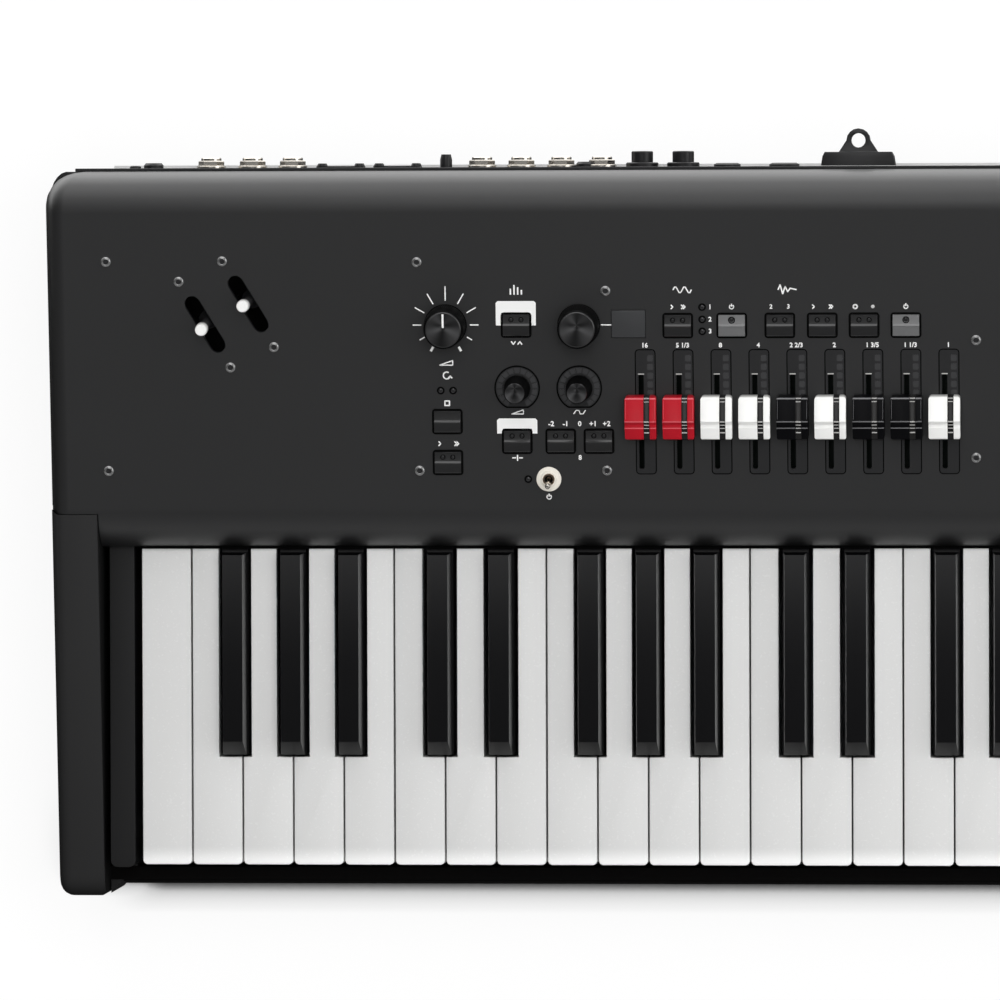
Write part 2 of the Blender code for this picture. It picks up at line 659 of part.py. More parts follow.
def cheek(side, name):
    """An end cheek: rounded over along the arm, hollow and open underneath. The left one is mirrored."""
    outer, inner = HALF_WIDTH, CHEEK_INNER_X
    body = side_plate(cheek_outline(), inner, outer)
    body.data.transform(body.matrix_world)
    body.matrix_world = Matrix.Identity(4)
    shape = bmesh.new()
    shape.from_mesh(body.data)
    bmesh.ops.dissolve_limit(shape, angle_limit=0.001, verts=shape.verts, edges=shape.edges)
    arm_end = SEAM_Y + SEAM_CORNER

    def arm_edges(face_x):
        edges = []
        for edge in shape.edges:
            a, b = edge.verts
            on_side = abs(a.co.x - face_x) < 1e-5 and abs(b.co.x - face_x) < 1e-5
            along = min(a.co.y, b.co.y) < arm_end - FIT and max(a.co.z, b.co.z) > panel_z(FRONT_Y) - CHEEK_NOSE
            low_end = min(a.co.z, b.co.z) > KEY_BOTTOM_Z
            if on_side and along and low_end:
                edges.append(edge)
        return edges
    bmesh.ops.bevel(shape, geom=arm_edges(outer), offset=CHEEK_OUTER_ROUND, segments=5, profile=0.5,
                    affect='EDGES', clamp_overlap=True)
    bmesh.ops.bevel(shape, geom=arm_edges(inner), offset=CHEEK_INNER_ROUND, segments=2, profile=0.5,
                    affect='EDGES', clamp_overlap=True)
    shape.to_mesh(body.data)
    shape.free()

    nose = CHEEK_FRONT_CORNER
    overhang = CHEEK_WIDTH
    cut(body, corner_tool((outer - REAR_CORNER_ACROSS, REAR_Y - REAR_CORNER_ALONG), REAR_CORNER_ACROSS,
                          REAR_CORNER_ALONG, 1, 1),
        corner_tool((outer - nose, FRONT_Y + nose), nose, nose, 1, -1),
        corner_tool((inner + nose, FRONT_Y + nose), nose, nose, -1, -1))

    corner = seam_corner(SEAM_CORNER + FIT, 270, 335)
    step = ([(inner - overhang, SEAM_Y - FIT)] + corner + [(outer + overhang, corner[-1][1]),
            (outer + overhang, arm_end + FIT), (inner - overhang, arm_end + FIT)])
    step_z = panel_z(SEAM_Y) - COVER_SIDE_ROUND - SEAM_STEP
    wall = CHEEK_WALL
    hollow = [(FRONT_Y + 8 * wall, CHEEK_BOTTOM_Z - wall), (FRONT_Y + 8 * wall, panel_z(FRONT_Y) - 3 * wall),
              (PANEL_FRONT_Y - 2 * wall, panel_z(PANEL_FRONT_Y) - 4 * wall),
              (REAR_Y - REAR_CORNER_ALONG - 2 * wall, panel_z(REAR_Y - REAR_CORNER_ALONG) - 8 * wall),
              (REAR_Y - REAR_CORNER_ALONG - 2 * wall, CHEEK_BOTTOM_Z - wall)]
    cut(body, floor_plate(step, step_z, 2 * PANEL_FRONT_Z), side_plate(hollow, inner + wall, outer - wall))
    if side < 0:
        body.matrix_world = Matrix.Diagonal((-1.0, 1.0, 1.0, 1.0)) @ body.matrix_world
    return finish(body, name, 'cheek')


def bottom_case():
    """The tray between the cheeks, with a low front wall behind the key slip."""
    half = CHEEK_INNER_X - FIT
    front = FRONT_Y + SLIP_TOP_SETBACK + SLIP_TOP_DEPTH + FIT
    back = REAR_Y - CASE_FLOOR
    tray = box((-half, front, CASE_BOTTOM_Z), (half, back, CASE_BOTTOM_Z + CASE_FLOOR))
    wall = box((-half, front, CASE_BOTTOM_Z), (half, front + CASE_FLOOR, CASE_FRONT_WALL_Z))
    return finish(union(tray, wall), 'bottom_case', 'cheek')


def socket_plate_box():
    """The socket plate's ends across the back."""
    return (min(PHONE_JACKS_S) - SOCKET_PLATE_MARGIN + PLACE_LINE_X,
            max(LINE_JACKS_S) + SOCKET_PLATE_MARGIN + PLACE_LINE_X)


def inlet_plate_start():
    """Where the rear sheet ends and the mains supply's plate begins."""
    return INLET_S + PLACE_LINE_X - INLET_SIZE[0] / 2 - INLET_PLATE_MARGIN


def rear_panel():
    """The upright rear sheet with a foot on the tray, and a window for the socket plate."""
    half = HALF_WIDTH - REAR_PANEL_END
    outer, inner = REAR_PANEL_Y, REAR_PANEL_Y - REAR_PANEL_THICKNESS
    low = CASE_BOTTOM_Z + CASE_FLOOR + FIT
    panel = box((-half, inner, low), (inlet_plate_start() - FIT, outer, cover_section(0.0)[-1][1] - FIT))
    foot_half = CHEEK_INNER_X - FIT
    foot = box((-foot_half, REAR_Y - REAR_PANEL_FOOT, low),
               (foot_half, outer - REAR_PANEL_THICKNESS / 2, low + REAR_PANEL_THICKNESS))
    union(panel, foot)
    left, right = socket_plate_box()
    window = box((left - FIT, inner - REAR_PANEL_THICKNESS, SOCKET_Z - SOCKET_PLATE_HEIGHT / 2 - FIT),
                 (right + FIT, outer + REAR_PANEL_THICKNESS, SOCKET_Z + SOCKET_PLATE_HEIGHT / 2 + FIT))
    cut(panel, window)
    return finish(panel, 'rear_panel', 'black_plastic')


def socket_place(s, y=None):
    """A frame on the rear panel, with local Z pointing out of the back."""
    return (Matrix.Translation((s + PLACE_LINE_X, REAR_PANEL_Y if y is None else y, SOCKET_Z))
            @ Matrix.Rotation(math.radians(-90), 4, 'X'))


def jack_board():
    """The socket plate that fills the rear panel's window, its sockets and the board behind them."""
    left, right = socket_plate_box()
    inner = REAR_PANEL_Y - SOCKET_PLATE_THICKNESS
    back = inner - SOCKET_BODY_DEPTH
    board = box((left, back - JACK_BOARD_THICKNESS, SOCKET_Z - JACK_BOARD_HEIGHT / 2),
                (right, back, SOCKET_Z + JACK_BOARD_HEIGHT / 2))
    bodies = [box((left, inner, SOCKET_Z - SOCKET_PLATE_HEIGHT / 2),
                  (right, REAR_PANEL_Y, SOCKET_Z + SOCKET_PLATE_HEIGHT / 2))]
    bores = []
    for places, radius, bore, proud in ((PHONE_JACKS_S, PHONE_JACK_RADIUS, PHONE_JACK_BORE, PHONE_JACK_PROUD),
                                        (LINE_JACKS_S, LINE_JACK_RADIUS, PHONE_JACK_BORE, LINE_JACK_PROUD),
                                        (ROUND_SOCKETS_S, ROUND_SOCKET_RADIUS, ROUND_SOCKET_BORE,
                                         ROUND_SOCKET_PROUD)):
        for s in places:
            x = s + PLACE_LINE_X
            wide = SOCKET_BODY_SIDE / 2
            bodies.append(box((x - wide, back - JACK_BOARD_THICKNESS / 2, SOCKET_Z - wide),
                              (x + wide, inner + SOCKET_PLATE_THICKNESS / 2, SOCKET_Z + wide)))
            bodies.append(cone(radius, radius, -SOCKET_PLATE_THICKNESS / 2, proud, 16, socket_place(s)))
            bores.append(cone(bore, bore, -SOCKET_BORE_DEPTH, 2 * proud + SOCKET_PLATE_THICKNESS, 12,
                              socket_place(s)))
    union(board, *bodies)
    cut(board, *bores)
    return finish(board, 'jack_board', 'board')


def power_supply():
    """The enclosed mains supply, with its inlet recess in a plate that closes the rear beside the sheet."""
    x = INLET_S + PLACE_LINE_X
    width, depth, height = SUPPLY_SIZE
    floor = CASE_BOTTOM_Z + CASE_FLOOR + REAR_PANEL_THICKNESS + 2 * FIT
    recess_floor = REAR_PANEL_Y - INLET_DEPTH
    brick_back = recess_floor - SUPPLY_BEHIND_INLET
    brick = box((x - SUPPLY_ASIDE - width / 2, brick_back - depth, floor),
                (x - SUPPLY_ASIDE + width / 2, brick_back, floor + height))
    half_x, half_z = INLET_SIZE[0] / 2, INLET_SIZE[1] / 2
    wall = INLET_WALL
    inlet = box((x - half_x - wall, brick_back - wall, floor + height / 2),
                (x + half_x + wall, REAR_PANEL_Y - REAR_PANEL_THICKNESS / 2, SOCKET_Z + half_z + wall))
    flange = box((inlet_plate_start(), REAR_PANEL_Y - REAR_PANEL_THICKNESS, floor),
                 (HALF_WIDTH - REAR_PANEL_END, REAR_PANEL_Y, cover_section(0.0)[-1][1] - FIT))
    recess = box((x - half_x, recess_floor, SOCKET_Z - half_z), (x + half_x, REAR_PANEL_Y + wall, SOCKET_Z + half_z))
    union(brick, inlet, flange)
    cut(brick, recess)
    return finish(brick, 'power_supply', 'steel')


def cord_anchor():
    """The block behind the case with an eye for tying a power adaptor's cord."""
    x = ANCHOR_S + PLACE_LINE_X
    back = REAR_PANEL_Y + FIT
    tip = REAR_Y + ANCHOR_REACH
    low, high = ANCHOR_Z - ANCHOR_BASE_HEIGHT / 2, ANCHOR_Z + ANCHOR_BASE_HEIGHT / 2
    base_end = back + ANCHOR_BASE_DEPTH - FIT - REAR_PANEL_PROUD
    half = ANCHOR_WIDTH / 2
    block = floor_plate([(x - half, back), (x + half, back), (x + half * 0.96, base_end - 0.002),
                         (x + half * 0.90, base_end), (x - half * 0.90, base_end),
                         (x - half * 0.96, base_end - 0.002)], low, high)
    eye_y = tip - ANCHOR_TAB_RADIUS
    flare = ANCHOR_TAB_RADIUS * 1.75
    tab = floor_plate([(x + flare, base_end - 0.001)] + arc((x, eye_y), ANCHOR_TAB_RADIUS, 0, 180, 8)
                      + [(x - flare, base_end - 0.001)],
                      ANCHOR_Z - ANCHOR_TAB_THICKNESS / 2, ANCHOR_Z + ANCHOR_TAB_THICKNESS / 2)
    union(block, tab)
    eye = cone(ANCHOR_EYE_RADIUS, ANCHOR_EYE_RADIUS, -0.02, 0.02, 16, Matrix.Translation((x, eye_y, ANCHOR_Z)))
    cut(block, eye)
    return finish(block, 'cord_anchor', 'black_plastic')


def key_surround():
    """The key slip in front of the keys, in one piece with the blocks at both ends of them."""
    inner = KEY_HALF_WIDTH - KEY_GAP / 2 + KEY_SIDE_GAP
    outer = inner + BLOCK_WIDTH
    half = CHEEK_INNER_X - FIT
    front = FRONT_Y + SLIP_TOP_SETBACK
    back = front + SLIP_TOP_DEPTH
    nose = FRONT_Y + SLIP_NOSE_SETBACK
    edge = SLIP_TOP_ROUND
    slip = side_plate([(nose + SLIP_CHAMFER, SLIP_BOTTOM_Z), (nose, SLIP_NOSE_Z), (front, SLIP_TOP_Z - edge),
                       (front + edge / 3, SLIP_TOP_Z - edge / 3), (front + edge, SLIP_TOP_Z), (back, SLIP_TOP_Z),
                       (back, SLIP_BOTTOM_Z)], -half, half)
    head = FRONT_Y + WHITE_FRONT_SETBACK - BLOCK_AHEAD
    tail = FALLBOARD_EDGE_Y + BLOCK_UNDER_FALLBOARD
    joined = SLIP_TOP_Z - SLIP_TOP_DEPTH
    round_corner = BLOCK_CORNER
    pieces = []
    for side in (-1, 1):
        plan = (arc((inner + round_corner, head + round_corner), round_corner, 180, 270, 3)
                + arc((outer - round_corner, head + round_corner), round_corner, 270, 360, 3)
                + [(outer, tail), (inner, tail)])
        pieces.append(floor_plate([(side * x, y) for x, y in plan], joined, KEY_TOP_Z - BLOCK_TOP_DROP))
        low, high = sorted((side * (inner + edge), side * (outer - edge)))
        pieces.append(box((low, back - SLIP_TOP_DEPTH / 2, joined - edge),
                          (high, head + 2 * round_corner, SLIP_TOP_Z - edge)))
        corner = [(half - FIT, FRONT_Y + SLIP_CORNER_SETBACK), (half - FIT, back - edge),
                  (half - SLIP_CORNER_WIDTH, back - edge), (half - SLIP_CORNER_WIDTH, front + edge)]
        pieces.append(floor_plate([(side * x, y) for x, y in corner], SLIP_NOSE_Z, SLIP_TOP_Z - edge / 2))
    union(slip, *pieces)
    return finish(slip, 'key_surround', 'black_plastic')


def keybed_frame():
    """A folded steel channel: front rail under the keys, deck, and rear wall with the pivot rail."""
    sheet = FRAME_SHEET
    floor = CASE_BOTTOM_Z + CASE_FLOOR + FIT
    front = FRONT_Y + FRAME_FRONT
    rail = front + FRAME_RAIL_DEPTH
    knife_low, knife_high = PIVOT_Y - KNIFE_WIDTH / 2, PIVOT_Y + KNIFE_WIDTH / 2
    wall_front, wall_back = knife_low - FRAME_TAIL, knife_high + FRAME_TAIL
    wall_top = FIRST_LAYER_Z - FIT - 0.0045
    deck = FRAME_DECK_Z
    outline = [(front, floor), (front, FRAME_RAIL_Z), (rail, FRAME_RAIL_Z), (rail, deck + sheet),
               (wall_front, deck + sheet), (wall_front, wall_top), (knife_low, wall_top),
               (knife_low, FIRST_LAYER_Z - FIT), (knife_high, FIRST_LAYER_Z - FIT), (knife_high, wall_top),
               (wall_back, wall_top), (wall_back, floor), (wall_back - sheet, floor),
               (wall_back - sheet, wall_top - sheet), (wall_front + sheet, wall_top - sheet),
               (wall_front + sheet, deck), (rail - sheet, deck), (rail - sheet, FRAME_RAIL_Z - sheet),
               (front + sheet, FRAME_RAIL_Z - sheet), (front + sheet, floor)]
    half = KEY_HALF_WIDTH
    return finish(side_plate(outline, -half, half), 'keybed_frame', 'steel')


def feet():
    places = {'foot_front_left': (-1, -1), 'foot_front_right': (1, -1), 'foot_rear_left': (-1, 1),
              'foot_rear_right': (1, 1)}
    for name, (across, along) in places.items():
        x = across * (HALF_WIDTH - FOOT_FROM_END)
        y = FRONT_Y + FOOT_FROM_FRONT if along < 0 else REAR_Y - FOOT_FROM_REAR
        foot = cone(FOOT_RADIUS * 0.9, FOOT_RADIUS, 0.0, FOOT_HEIGHT - FIT, 20, Matrix.Translation((x, y, 0)))
        finish(foot, name, 'rubber', smooth=True)


# Keys


def black_centre(left_white, note):
    """The middle of the black key to the right of a white key: the outer ones of a group stand apart."""
    spread = {'F': -BLACK_SPREAD_OF_THREE, 'G': 0.0, 'A': BLACK_SPREAD_OF_THREE, 'C': -BLACK_SPREAD_OF_TWO,
              'D': BLACK_SPREAD_OF_TWO}[note]
    return -KEY_HALF_WIDTH + KEY_PITCH * (left_white + 1) + spread


def half_cut(note):
    """Half the width of the cut-out for the black key to the right of a white key."""
    return (BLACK_CUT_WIDTH_OF_TWO if note in ('C', 'D') else BLACK_CUT_WIDTH_OF_THREE) / 2


NOTES = ('E', 'F', 'G', 'A', 'B', 'C', 'D')
SHARP_NOTES = ('F', 'G', 'A', 'C', 'D')


def note_of(index):
    return NOTES[index % KEYS_PER_OCTAVE]


def white_outline(index):
    """A white key in plan: round at the front corners, cut back beside the black keys."""
    left = -KEY_HALF_WIDTH + KEY_PITCH * index + KEY_GAP / 2
    right = left + KEY_PITCH - KEY_GAP
    front = FRONT_Y + WHITE_FRONT_SETBACK
    waist = front + WHITE_HEAD_LENGTH
    back = FRONT_Y + KEY_BODY_END
    tail_left, tail_right = left, right
    if index > 0 and note_of(index - 1) in SHARP_NOTES:
        note = note_of(index - 1)
        tail_left = black_centre(index - 1, note) + half_cut(note)
    if index < WHITE_KEYS - 1 and note_of(index) in SHARP_NOTES:
        note = note_of(index)
        tail_right = black_centre(index, note) - half_cut(note)
    corner = WHITE_CORNER
    outline = arc((left + corner, front + corner), corner, 180, 270, 2)
    outline += arc((right - corner, front + corner), corner, 270, 360, 2)
    if tail_right < right:
        outline += [(right, waist), (tail_right, waist)]
    outline += [(tail_right, back), (tail_left, back)]
    if tail_left > left:
        outline += [(tail_left, waist), (left, waist)]
    return outline, (tail_left + tail_right) / 2


def comb_bar(low_x, high_x, layer):
    low_z = FIRST_LAYER_Z + LAYER_STEP * layer
    return box((low_x, PIVOT_Y - COMB_BAR_DEPTH / 2, low_z),
               (high_x, PIVOT_Y + COMB_BAR_DEPTH / 2, low_z + COMB_BAR_HEIGHT))


def tongue(centre_x, layer):
    low_z = FIRST_LAYER_Z + LAYER_STEP * layer
    return box((centre_x - TONGUE_WIDTH / 2, FRONT_Y + KEY_BODY_END - 0.006, low_z),
               (centre_x + TONGUE_WIDTH / 2, PIVOT_Y, low_z + COMB_BAR_HEIGHT))


def white_comb(name, members, layer):
    """Some white keys of one octave, none of them neighbours, on one pivot bar."""
    pieces, centres = [], []
    for index in members:
        outline, centre = white_outline(index)
        pieces.append(floor_plate(outline, KEY_BOTTOM_Z, KEY_TOP_Z))
        pieces.append(tongue(centre, layer))
        centres.append(centre)
    bar = comb_bar(min(centres) - TONGUE_WIDTH / 2, max(centres) + TONGUE_WIDTH / 2, layer)
    union(bar, *pieces)
    return finish(bar, name, 'white_key', origin=(0.0, PIVOT_Y, PIVOT_Z))


def black_key(centre):
    """A black key: a plain shank with a tapered cap that slopes down in front and a little behind."""
    front = FRONT_Y + WHITE_FRONT_SETBACK + WHITE_HEAD_LENGTH + BLACK_FRONT_GAP
    back = FALLBOARD_EDGE_Y - BLACK_TAIL_GAP
    half_base, half_top = BLACK_BASE_WIDTH / 2, BLACK_TOP_WIDTH / 2
    low, high = KEY_TOP_Z - BLACK_SUNK, KEY_TOP_Z + BLACK_RISE
    side = [(front, low), (front, KEY_TOP_Z + BLACK_FRONT_RISE), (front + BLACK_FRONT_SLOPE, high),
            (back - BLACK_TAIL_SLOPE, high), (back, KEY_TOP_Z), (back, low)]

    def fill(shape):
        rims = []
        for hand in (-1, 1):
            rim = []
            for y, z in side:
                share = (z - low) / (high - low)
                rim.append(shape.verts.new((centre + hand * (half_base + (half_top - half_base) * share), y, z)))
            shape.faces.new(rim)
            rims.append(rim)
        for step in range(len(side)):
            after = (step + 1) % len(side)
            shape.faces.new((rims[0][step], rims[0][after], rims[1][after], rims[1][step]))
        bmesh.ops.recalc_face_normals(shape, faces=shape.faces)
    cap = add_object('cap', mesh_from(fill))
    shank = box((centre - half_base, front, KEY_BOTTOM_Z + BLACK_SUNK),
                (centre + half_base, FRONT_Y + KEY_BODY_END, KEY_TOP_Z - BLACK_SUNK / 2))
    return [cap, shank]


def black_comb(name, members, layer):
    pieces, centres = [], []
    for index in members:
        centre = black_centre(index, note_of(index))
        pieces.extend(black_key(centre))
        pieces.append(tongue(centre, layer))
        centres.append(centre)
    bar = comb_bar(min(centres) - TONGUE_WIDTH / 2, max(centres) + TONGUE_WIDTH / 2, layer)
    union(bar, *pieces)
    return finish(bar, name, 'black_key', origin=(0.0, PIVOT_Y, PIVOT_Z))


def keys():
    octaves = WHITE_KEYS // KEYS_PER_OCTAVE
    for octave in range(octaves):
        first = octave * KEYS_PER_OCTAVE
        even = [first + step for step in (0, 2, 4, 6)]
        odd = [first + step for step in (1, 3, 5)]
        if octave == octaves - 1:
            odd.append(WHITE_KEYS - 1)
        sharps = [first + step for step in (1, 2, 3, 5, 6)]
        label = 'keys_octave_%d' % (octave + 1)
        white_comb(label + '_white_egbd', even, 0)
        white_comb(label + '_white_fac', odd, 1)
        black_comb(label + '_black', sharps, 2)


# Controls


def large_knob(name, at):
    place = panel_place(at)
    knob = cone(LARGE_KNOB_RADIUS, LARGE_KNOB_TOP_RADIUS, FIT, LARGE_KNOB_HEIGHT, 28, place)
    shaft = cone(SHAFT_RADIUS, SHAFT_RADIUS, -SHAFT_DEPTH, 0.002, 12, place)
    return finish(union(knob, shaft), name, 'knob', origin=place, smooth=True)


def small_knob(name, at):
    place = panel_place(at)
    knob = cone(SMALL_KNOB_RADIUS, SMALL_KNOB_TOP_RADIUS, FIT, SMALL_KNOB_HEIGHT, 20, place)
    shaft = cone(SHAFT_RADIUS, SHAFT_RADIUS, -SHAFT_DEPTH, 0.002, 12, place)
    return finish(union(knob, shaft), name, 'knob', origin=place, smooth=True)


def lever(name, at, rest_deg):
    """A stick on a hub between two ears under the panel, with a round cap on top."""
    place = (panel_place(at, LEVER_LEAN_DEG) @ Matrix.Translation((0, 0, -LEVER_PIVOT_DEPTH)))
    tilt = place @ Matrix.Rotation(math.radians(rest_deg), 4, 'X')
    top = LEVER_PIVOT_DEPTH + LEVER_HEIGHT
    stick = cone(LEVER_RADIUS, LEVER_RADIUS, 0.0, top - 0.002, 12, tilt)
    cap = cone(LEVER_CAP_RADIUS, LEVER_CAP_RADIUS * 0.9, top - 0.006, top, 16, tilt)
    across = tilt @ Matrix.Rotation(math.radians(90), 4, 'Y')
    hub = cone(LEVER_HUB_RADIUS, LEVER_HUB_RADIUS, -LEVER_HUB_RADIUS, LEVER_HUB_RADIUS, 16, across)
    return finish(union(hub, stick, cap), name, 'lever', origin=place, smooth=True)


def toggle(name, at):
    """The bat of a toggle switch on its ball in the panel, leaning towards the player at rest."""
    place = panel_place(at) @ Matrix.Translation((0, 0, -TOGGLE_PIVOT_DEPTH))
    tilt = place @ Matrix.Rotation(math.radians(TOGGLE_THROW_DEG / 2), 4, 'X')

    def fill(shape):
        bmesh.ops.create_uvsphere(shape, u_segments=12, v_segments=6, radius=TOGGLE_BALL_RADIUS)
    ball = add_object('ball', mesh_from(fill), tilt)
    bat = cone(0.0009, 0.0013, 0.0, TOGGLE_BAT_LENGTH, 12, tilt)
    return finish(union(ball, bat), name, 'nickel', origin=place, smooth=True)


def button_set(name, places, aside=0.0):
    """Button caps on one moulded web just under the panel; the web can run beside the caps' middles."""
    top = -COVER_THICKNESS - FIT
    web_low, web_high = top - BUTTON_WEB, top
    first, last = Vector(places[0]), Vector(places[-1])
    along = last - first
    length = along.length + BUTTON_WEB_WIDTH
    middle = (first + last) / 2
    lean = math.degrees(math.atan2(along.y, along.x))
    place = panel_place(middle, lean)
    web = box((-length / 2, aside - BUTTON_WEB_WIDTH / 2, web_low),
              (length / 2, aside + BUTTON_WEB_WIDTH / 2, web_high), place)
    caps = []
    width, depth = BUTTON_SIZE
    for at in places:
        outline = rounded_box_outline(width, depth, 0.0010, 1)
        caps.append(floor_plate(outline, web_low + BUTTON_WEB / 2, BUTTON_PROUD, panel_place(at)))
    union(web, *caps)
    return finish(web, name, 'black_plastic', origin=panel_place(middle))


def drawbar(index):
    """A drawbar: wedge cap over the panel, thin stem through the slot, shoe underneath."""
    place = panel_place((drawbar_s(index), DRAWBAR_REST_T))
    half_w, half_l = DRAWBAR_CAP_WIDTH / 2, DRAWBAR_CAP_LENGTH / 2
    low, high = DRAWBAR_CAP_LIFT, DRAWBAR_CAP_HEIGHT
    side = [(-half_l, low), (-half_l + 0.0010, low + 0.0062), (-half_l + 0.0052, low + 0.0078),
            (-half_l + 0.0056, low + 0.0066), (-half_l + 0.0086, low + 0.0066), (-half_l + 0.0092, high),
            (half_l - 0.0012, low + 0.0066), (half_l, low + 0.0050), (half_l, low)]
    axes = place @ Matrix(((0, 0, 1, 0), (1, 0, 0, 0), (0, 1, 0, 0), (0, 0, 0, 1)))
    cap = plate(side, DRAWBAR_CAP_WIDTH, axes)
    stem = box((-DRAWBAR_STEM_WIDTH / 2, -DRAWBAR_STEM_LENGTH / 2, -COVER_THICKNESS - FIT - 0.001),
               (DRAWBAR_STEM_WIDTH / 2, DRAWBAR_STEM_LENGTH / 2, low + 0.002), place)
    top = -COVER_THICKNESS - FIT
    shoe = box((-DRAWBAR_SHOE / 2, -DRAWBAR_SHOE, top - DRAWBAR_SHOE_THICKNESS), (DRAWBAR_SHOE / 2, DRAWBAR_SHOE, top),
               place)
    union(cap, stem, shoe)
    return finish(cap, 'drawbar_%d' % (index + 1), DRAWBAR_COLOURS[index], origin=place)


def display(name, at, size):
    place = panel_place(at)
    floor = DISPLAY_PROUD - DISPLAY_THICKNESS / 2
    window = box((-size[0] / 2, -size[1] / 2, floor), (size[0] / 2, size[1] / 2, DISPLAY_PROUD), place)
    return finish(window, name, 'window')


def main_board():
    """The circuit board behind the panel, held on the panel's bosses."""
    board = box((BOARD_FIRST_S, BOARD_FIRST_T, -BOARD_DEPTH - BOARD_THICKNESS),
                (BOARD_LAST_S, BOARD_LAST_T, -BOARD_DEPTH), PANEL_TO_WORLD)
    return finish(board, 'main_board', 'board')


def build():
    top_panel()
    cheek(-1, 'left_cheek')
    cheek(1, 'right_cheek')
    bottom_case()
    rear_panel()
    jack_board()
    power_supply()
    cord_anchor()
    key_surround()
    keybed_frame()
    feet()
    main_board()
    for name, (at, size) in DISPLAYS.items():
        display(name, at, size)
    keys()
    for name, at in LARGE_KNOBS.items():
        large_knob(name, at)
    for name, at in SMALL_KNOBS.items():
        small_knob(name, at)
    lever('pitch_lever', PITCH_LEVER_AT, 0.0)
    lever('modulation_lever', MODULATION_LEVER_AT, -MODULATION_REST_DEG)
    for name, at in TOGGLES.items():
        toggle(name, at)
    for name, places in button_places().items():
        button_set(name, places, MANUAL_WEB_ASIDE if name == 'manual_buttons' else 0.0)
    for index in range(DRAWBARS):
        drawbar(index)


build()
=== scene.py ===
"""Finish, fine detail and studio for a stage keyboard with organ drawbars."""

import json
import math

import bmesh
import bpy
from bpy.props import FloatProperty, FloatVectorProperty, IntProperty, PointerProperty
from mathutils import Matrix, Vector


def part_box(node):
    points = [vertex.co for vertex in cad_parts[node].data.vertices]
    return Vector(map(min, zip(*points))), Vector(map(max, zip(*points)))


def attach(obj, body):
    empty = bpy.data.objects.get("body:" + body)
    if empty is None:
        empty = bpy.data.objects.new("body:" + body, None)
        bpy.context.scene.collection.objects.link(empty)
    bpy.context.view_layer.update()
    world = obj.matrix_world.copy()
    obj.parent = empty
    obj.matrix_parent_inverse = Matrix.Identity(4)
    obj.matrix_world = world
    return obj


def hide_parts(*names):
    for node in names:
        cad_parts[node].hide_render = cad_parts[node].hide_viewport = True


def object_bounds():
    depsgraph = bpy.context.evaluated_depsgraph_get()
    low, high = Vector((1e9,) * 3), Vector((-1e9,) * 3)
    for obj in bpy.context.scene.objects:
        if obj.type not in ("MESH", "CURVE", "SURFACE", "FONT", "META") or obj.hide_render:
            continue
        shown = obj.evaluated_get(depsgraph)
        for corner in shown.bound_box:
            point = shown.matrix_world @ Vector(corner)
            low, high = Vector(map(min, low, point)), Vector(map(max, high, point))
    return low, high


bl_info = {
    "name": "Stage keyboard looks",
    "version": (1, 0, 0),
    "blender": (4, 5, 0),
    "location": "View3D > Sidebar > Keyboard",
    "description": "Finishes a packed stage keyboard and sets it in a plain studio",
    "category": "Object",
}

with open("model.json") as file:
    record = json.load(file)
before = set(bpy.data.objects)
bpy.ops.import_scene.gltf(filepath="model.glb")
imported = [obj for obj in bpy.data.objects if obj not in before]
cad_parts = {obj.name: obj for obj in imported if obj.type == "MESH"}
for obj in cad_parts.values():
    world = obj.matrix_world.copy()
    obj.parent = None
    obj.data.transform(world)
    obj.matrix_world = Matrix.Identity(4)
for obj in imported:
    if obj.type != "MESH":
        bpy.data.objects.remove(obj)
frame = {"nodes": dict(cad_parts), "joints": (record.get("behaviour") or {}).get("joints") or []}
CAD_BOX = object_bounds()
JOINTS = {joint["name"]: joint for joint in frame["joints"]}
# The painted light on the front end of the key tops: its length, and where it begins, counted from the pivot
KEY_TIP_LIGHT_LENGTH = 0.009
KEY_TIP_LIGHT_FROM = (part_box("keys_octave_1_white_egbd")[0][1] + KEY_TIP_LIGHT_LENGTH
                - frame["nodes"]["keys_octave_1_white_egbd"].matrix_world.translation.y)

# The panel's own frame: distance from the left end, distance up the slope, height over the paint
ACROSS = Vector((1.0, 0.0, 0.0))
ALONG = Vector(JOINTS["drawbar_1_slide"]["axis"]).normalized()
UP = Vector(JOINTS["master_volume_knob_turn"]["axis"]).normalized()
MASTER_VOLUME_AT = (0.1823, 0.0849)
ORIGIN = (Vector(JOINTS["master_volume_knob_turn"]["pos_m"]) - MASTER_VOLUME_AT[0] * ACROSS
          - MASTER_VOLUME_AT[1] * ALONG)
PANEL = Matrix.Translation(ORIGIN) @ Matrix((ACROSS, ALONG, UP)).transposed().to_4x4()

# Places on the panel: (distance from the left end, distance up the slope), in metres
SCREWS_AT = ((0.0263, 0.1145), (0.0597, 0.1052), (0.0799, 0.1146), (0.1031, 0.0748), (0.0829, 0.0654),
             (0.0257, 0.0173), (0.1694, 0.1140), (0.1694, 0.0173), (0.2558, 0.1005), (0.2556, 0.0173),
             (0.4250, 0.0774), (0.4247, 0.0230), (0.6480, 0.1140), (0.6480, 0.0173), (0.8600, 0.1145),
             (0.8600, 0.0173), (1.0600, 0.1145), (1.0600, 0.0173))
# Slots of the levers: turn in degrees, places, and (width, distance between the middles of the round ends)
LEVER_LEAN = 30.8
LEVER_SLOTS_AT = ((0.0715, 0.0854), (0.0916, 0.0948))
LEVER_SLOT = (0.0076, 0.0224)
# Degrees that levers and toggles lean over at rest
LEVER_RESTS = {"pitch_lever": 0.0, "modulation_lever": -3.0}
TOGGLE_REST = 12.0
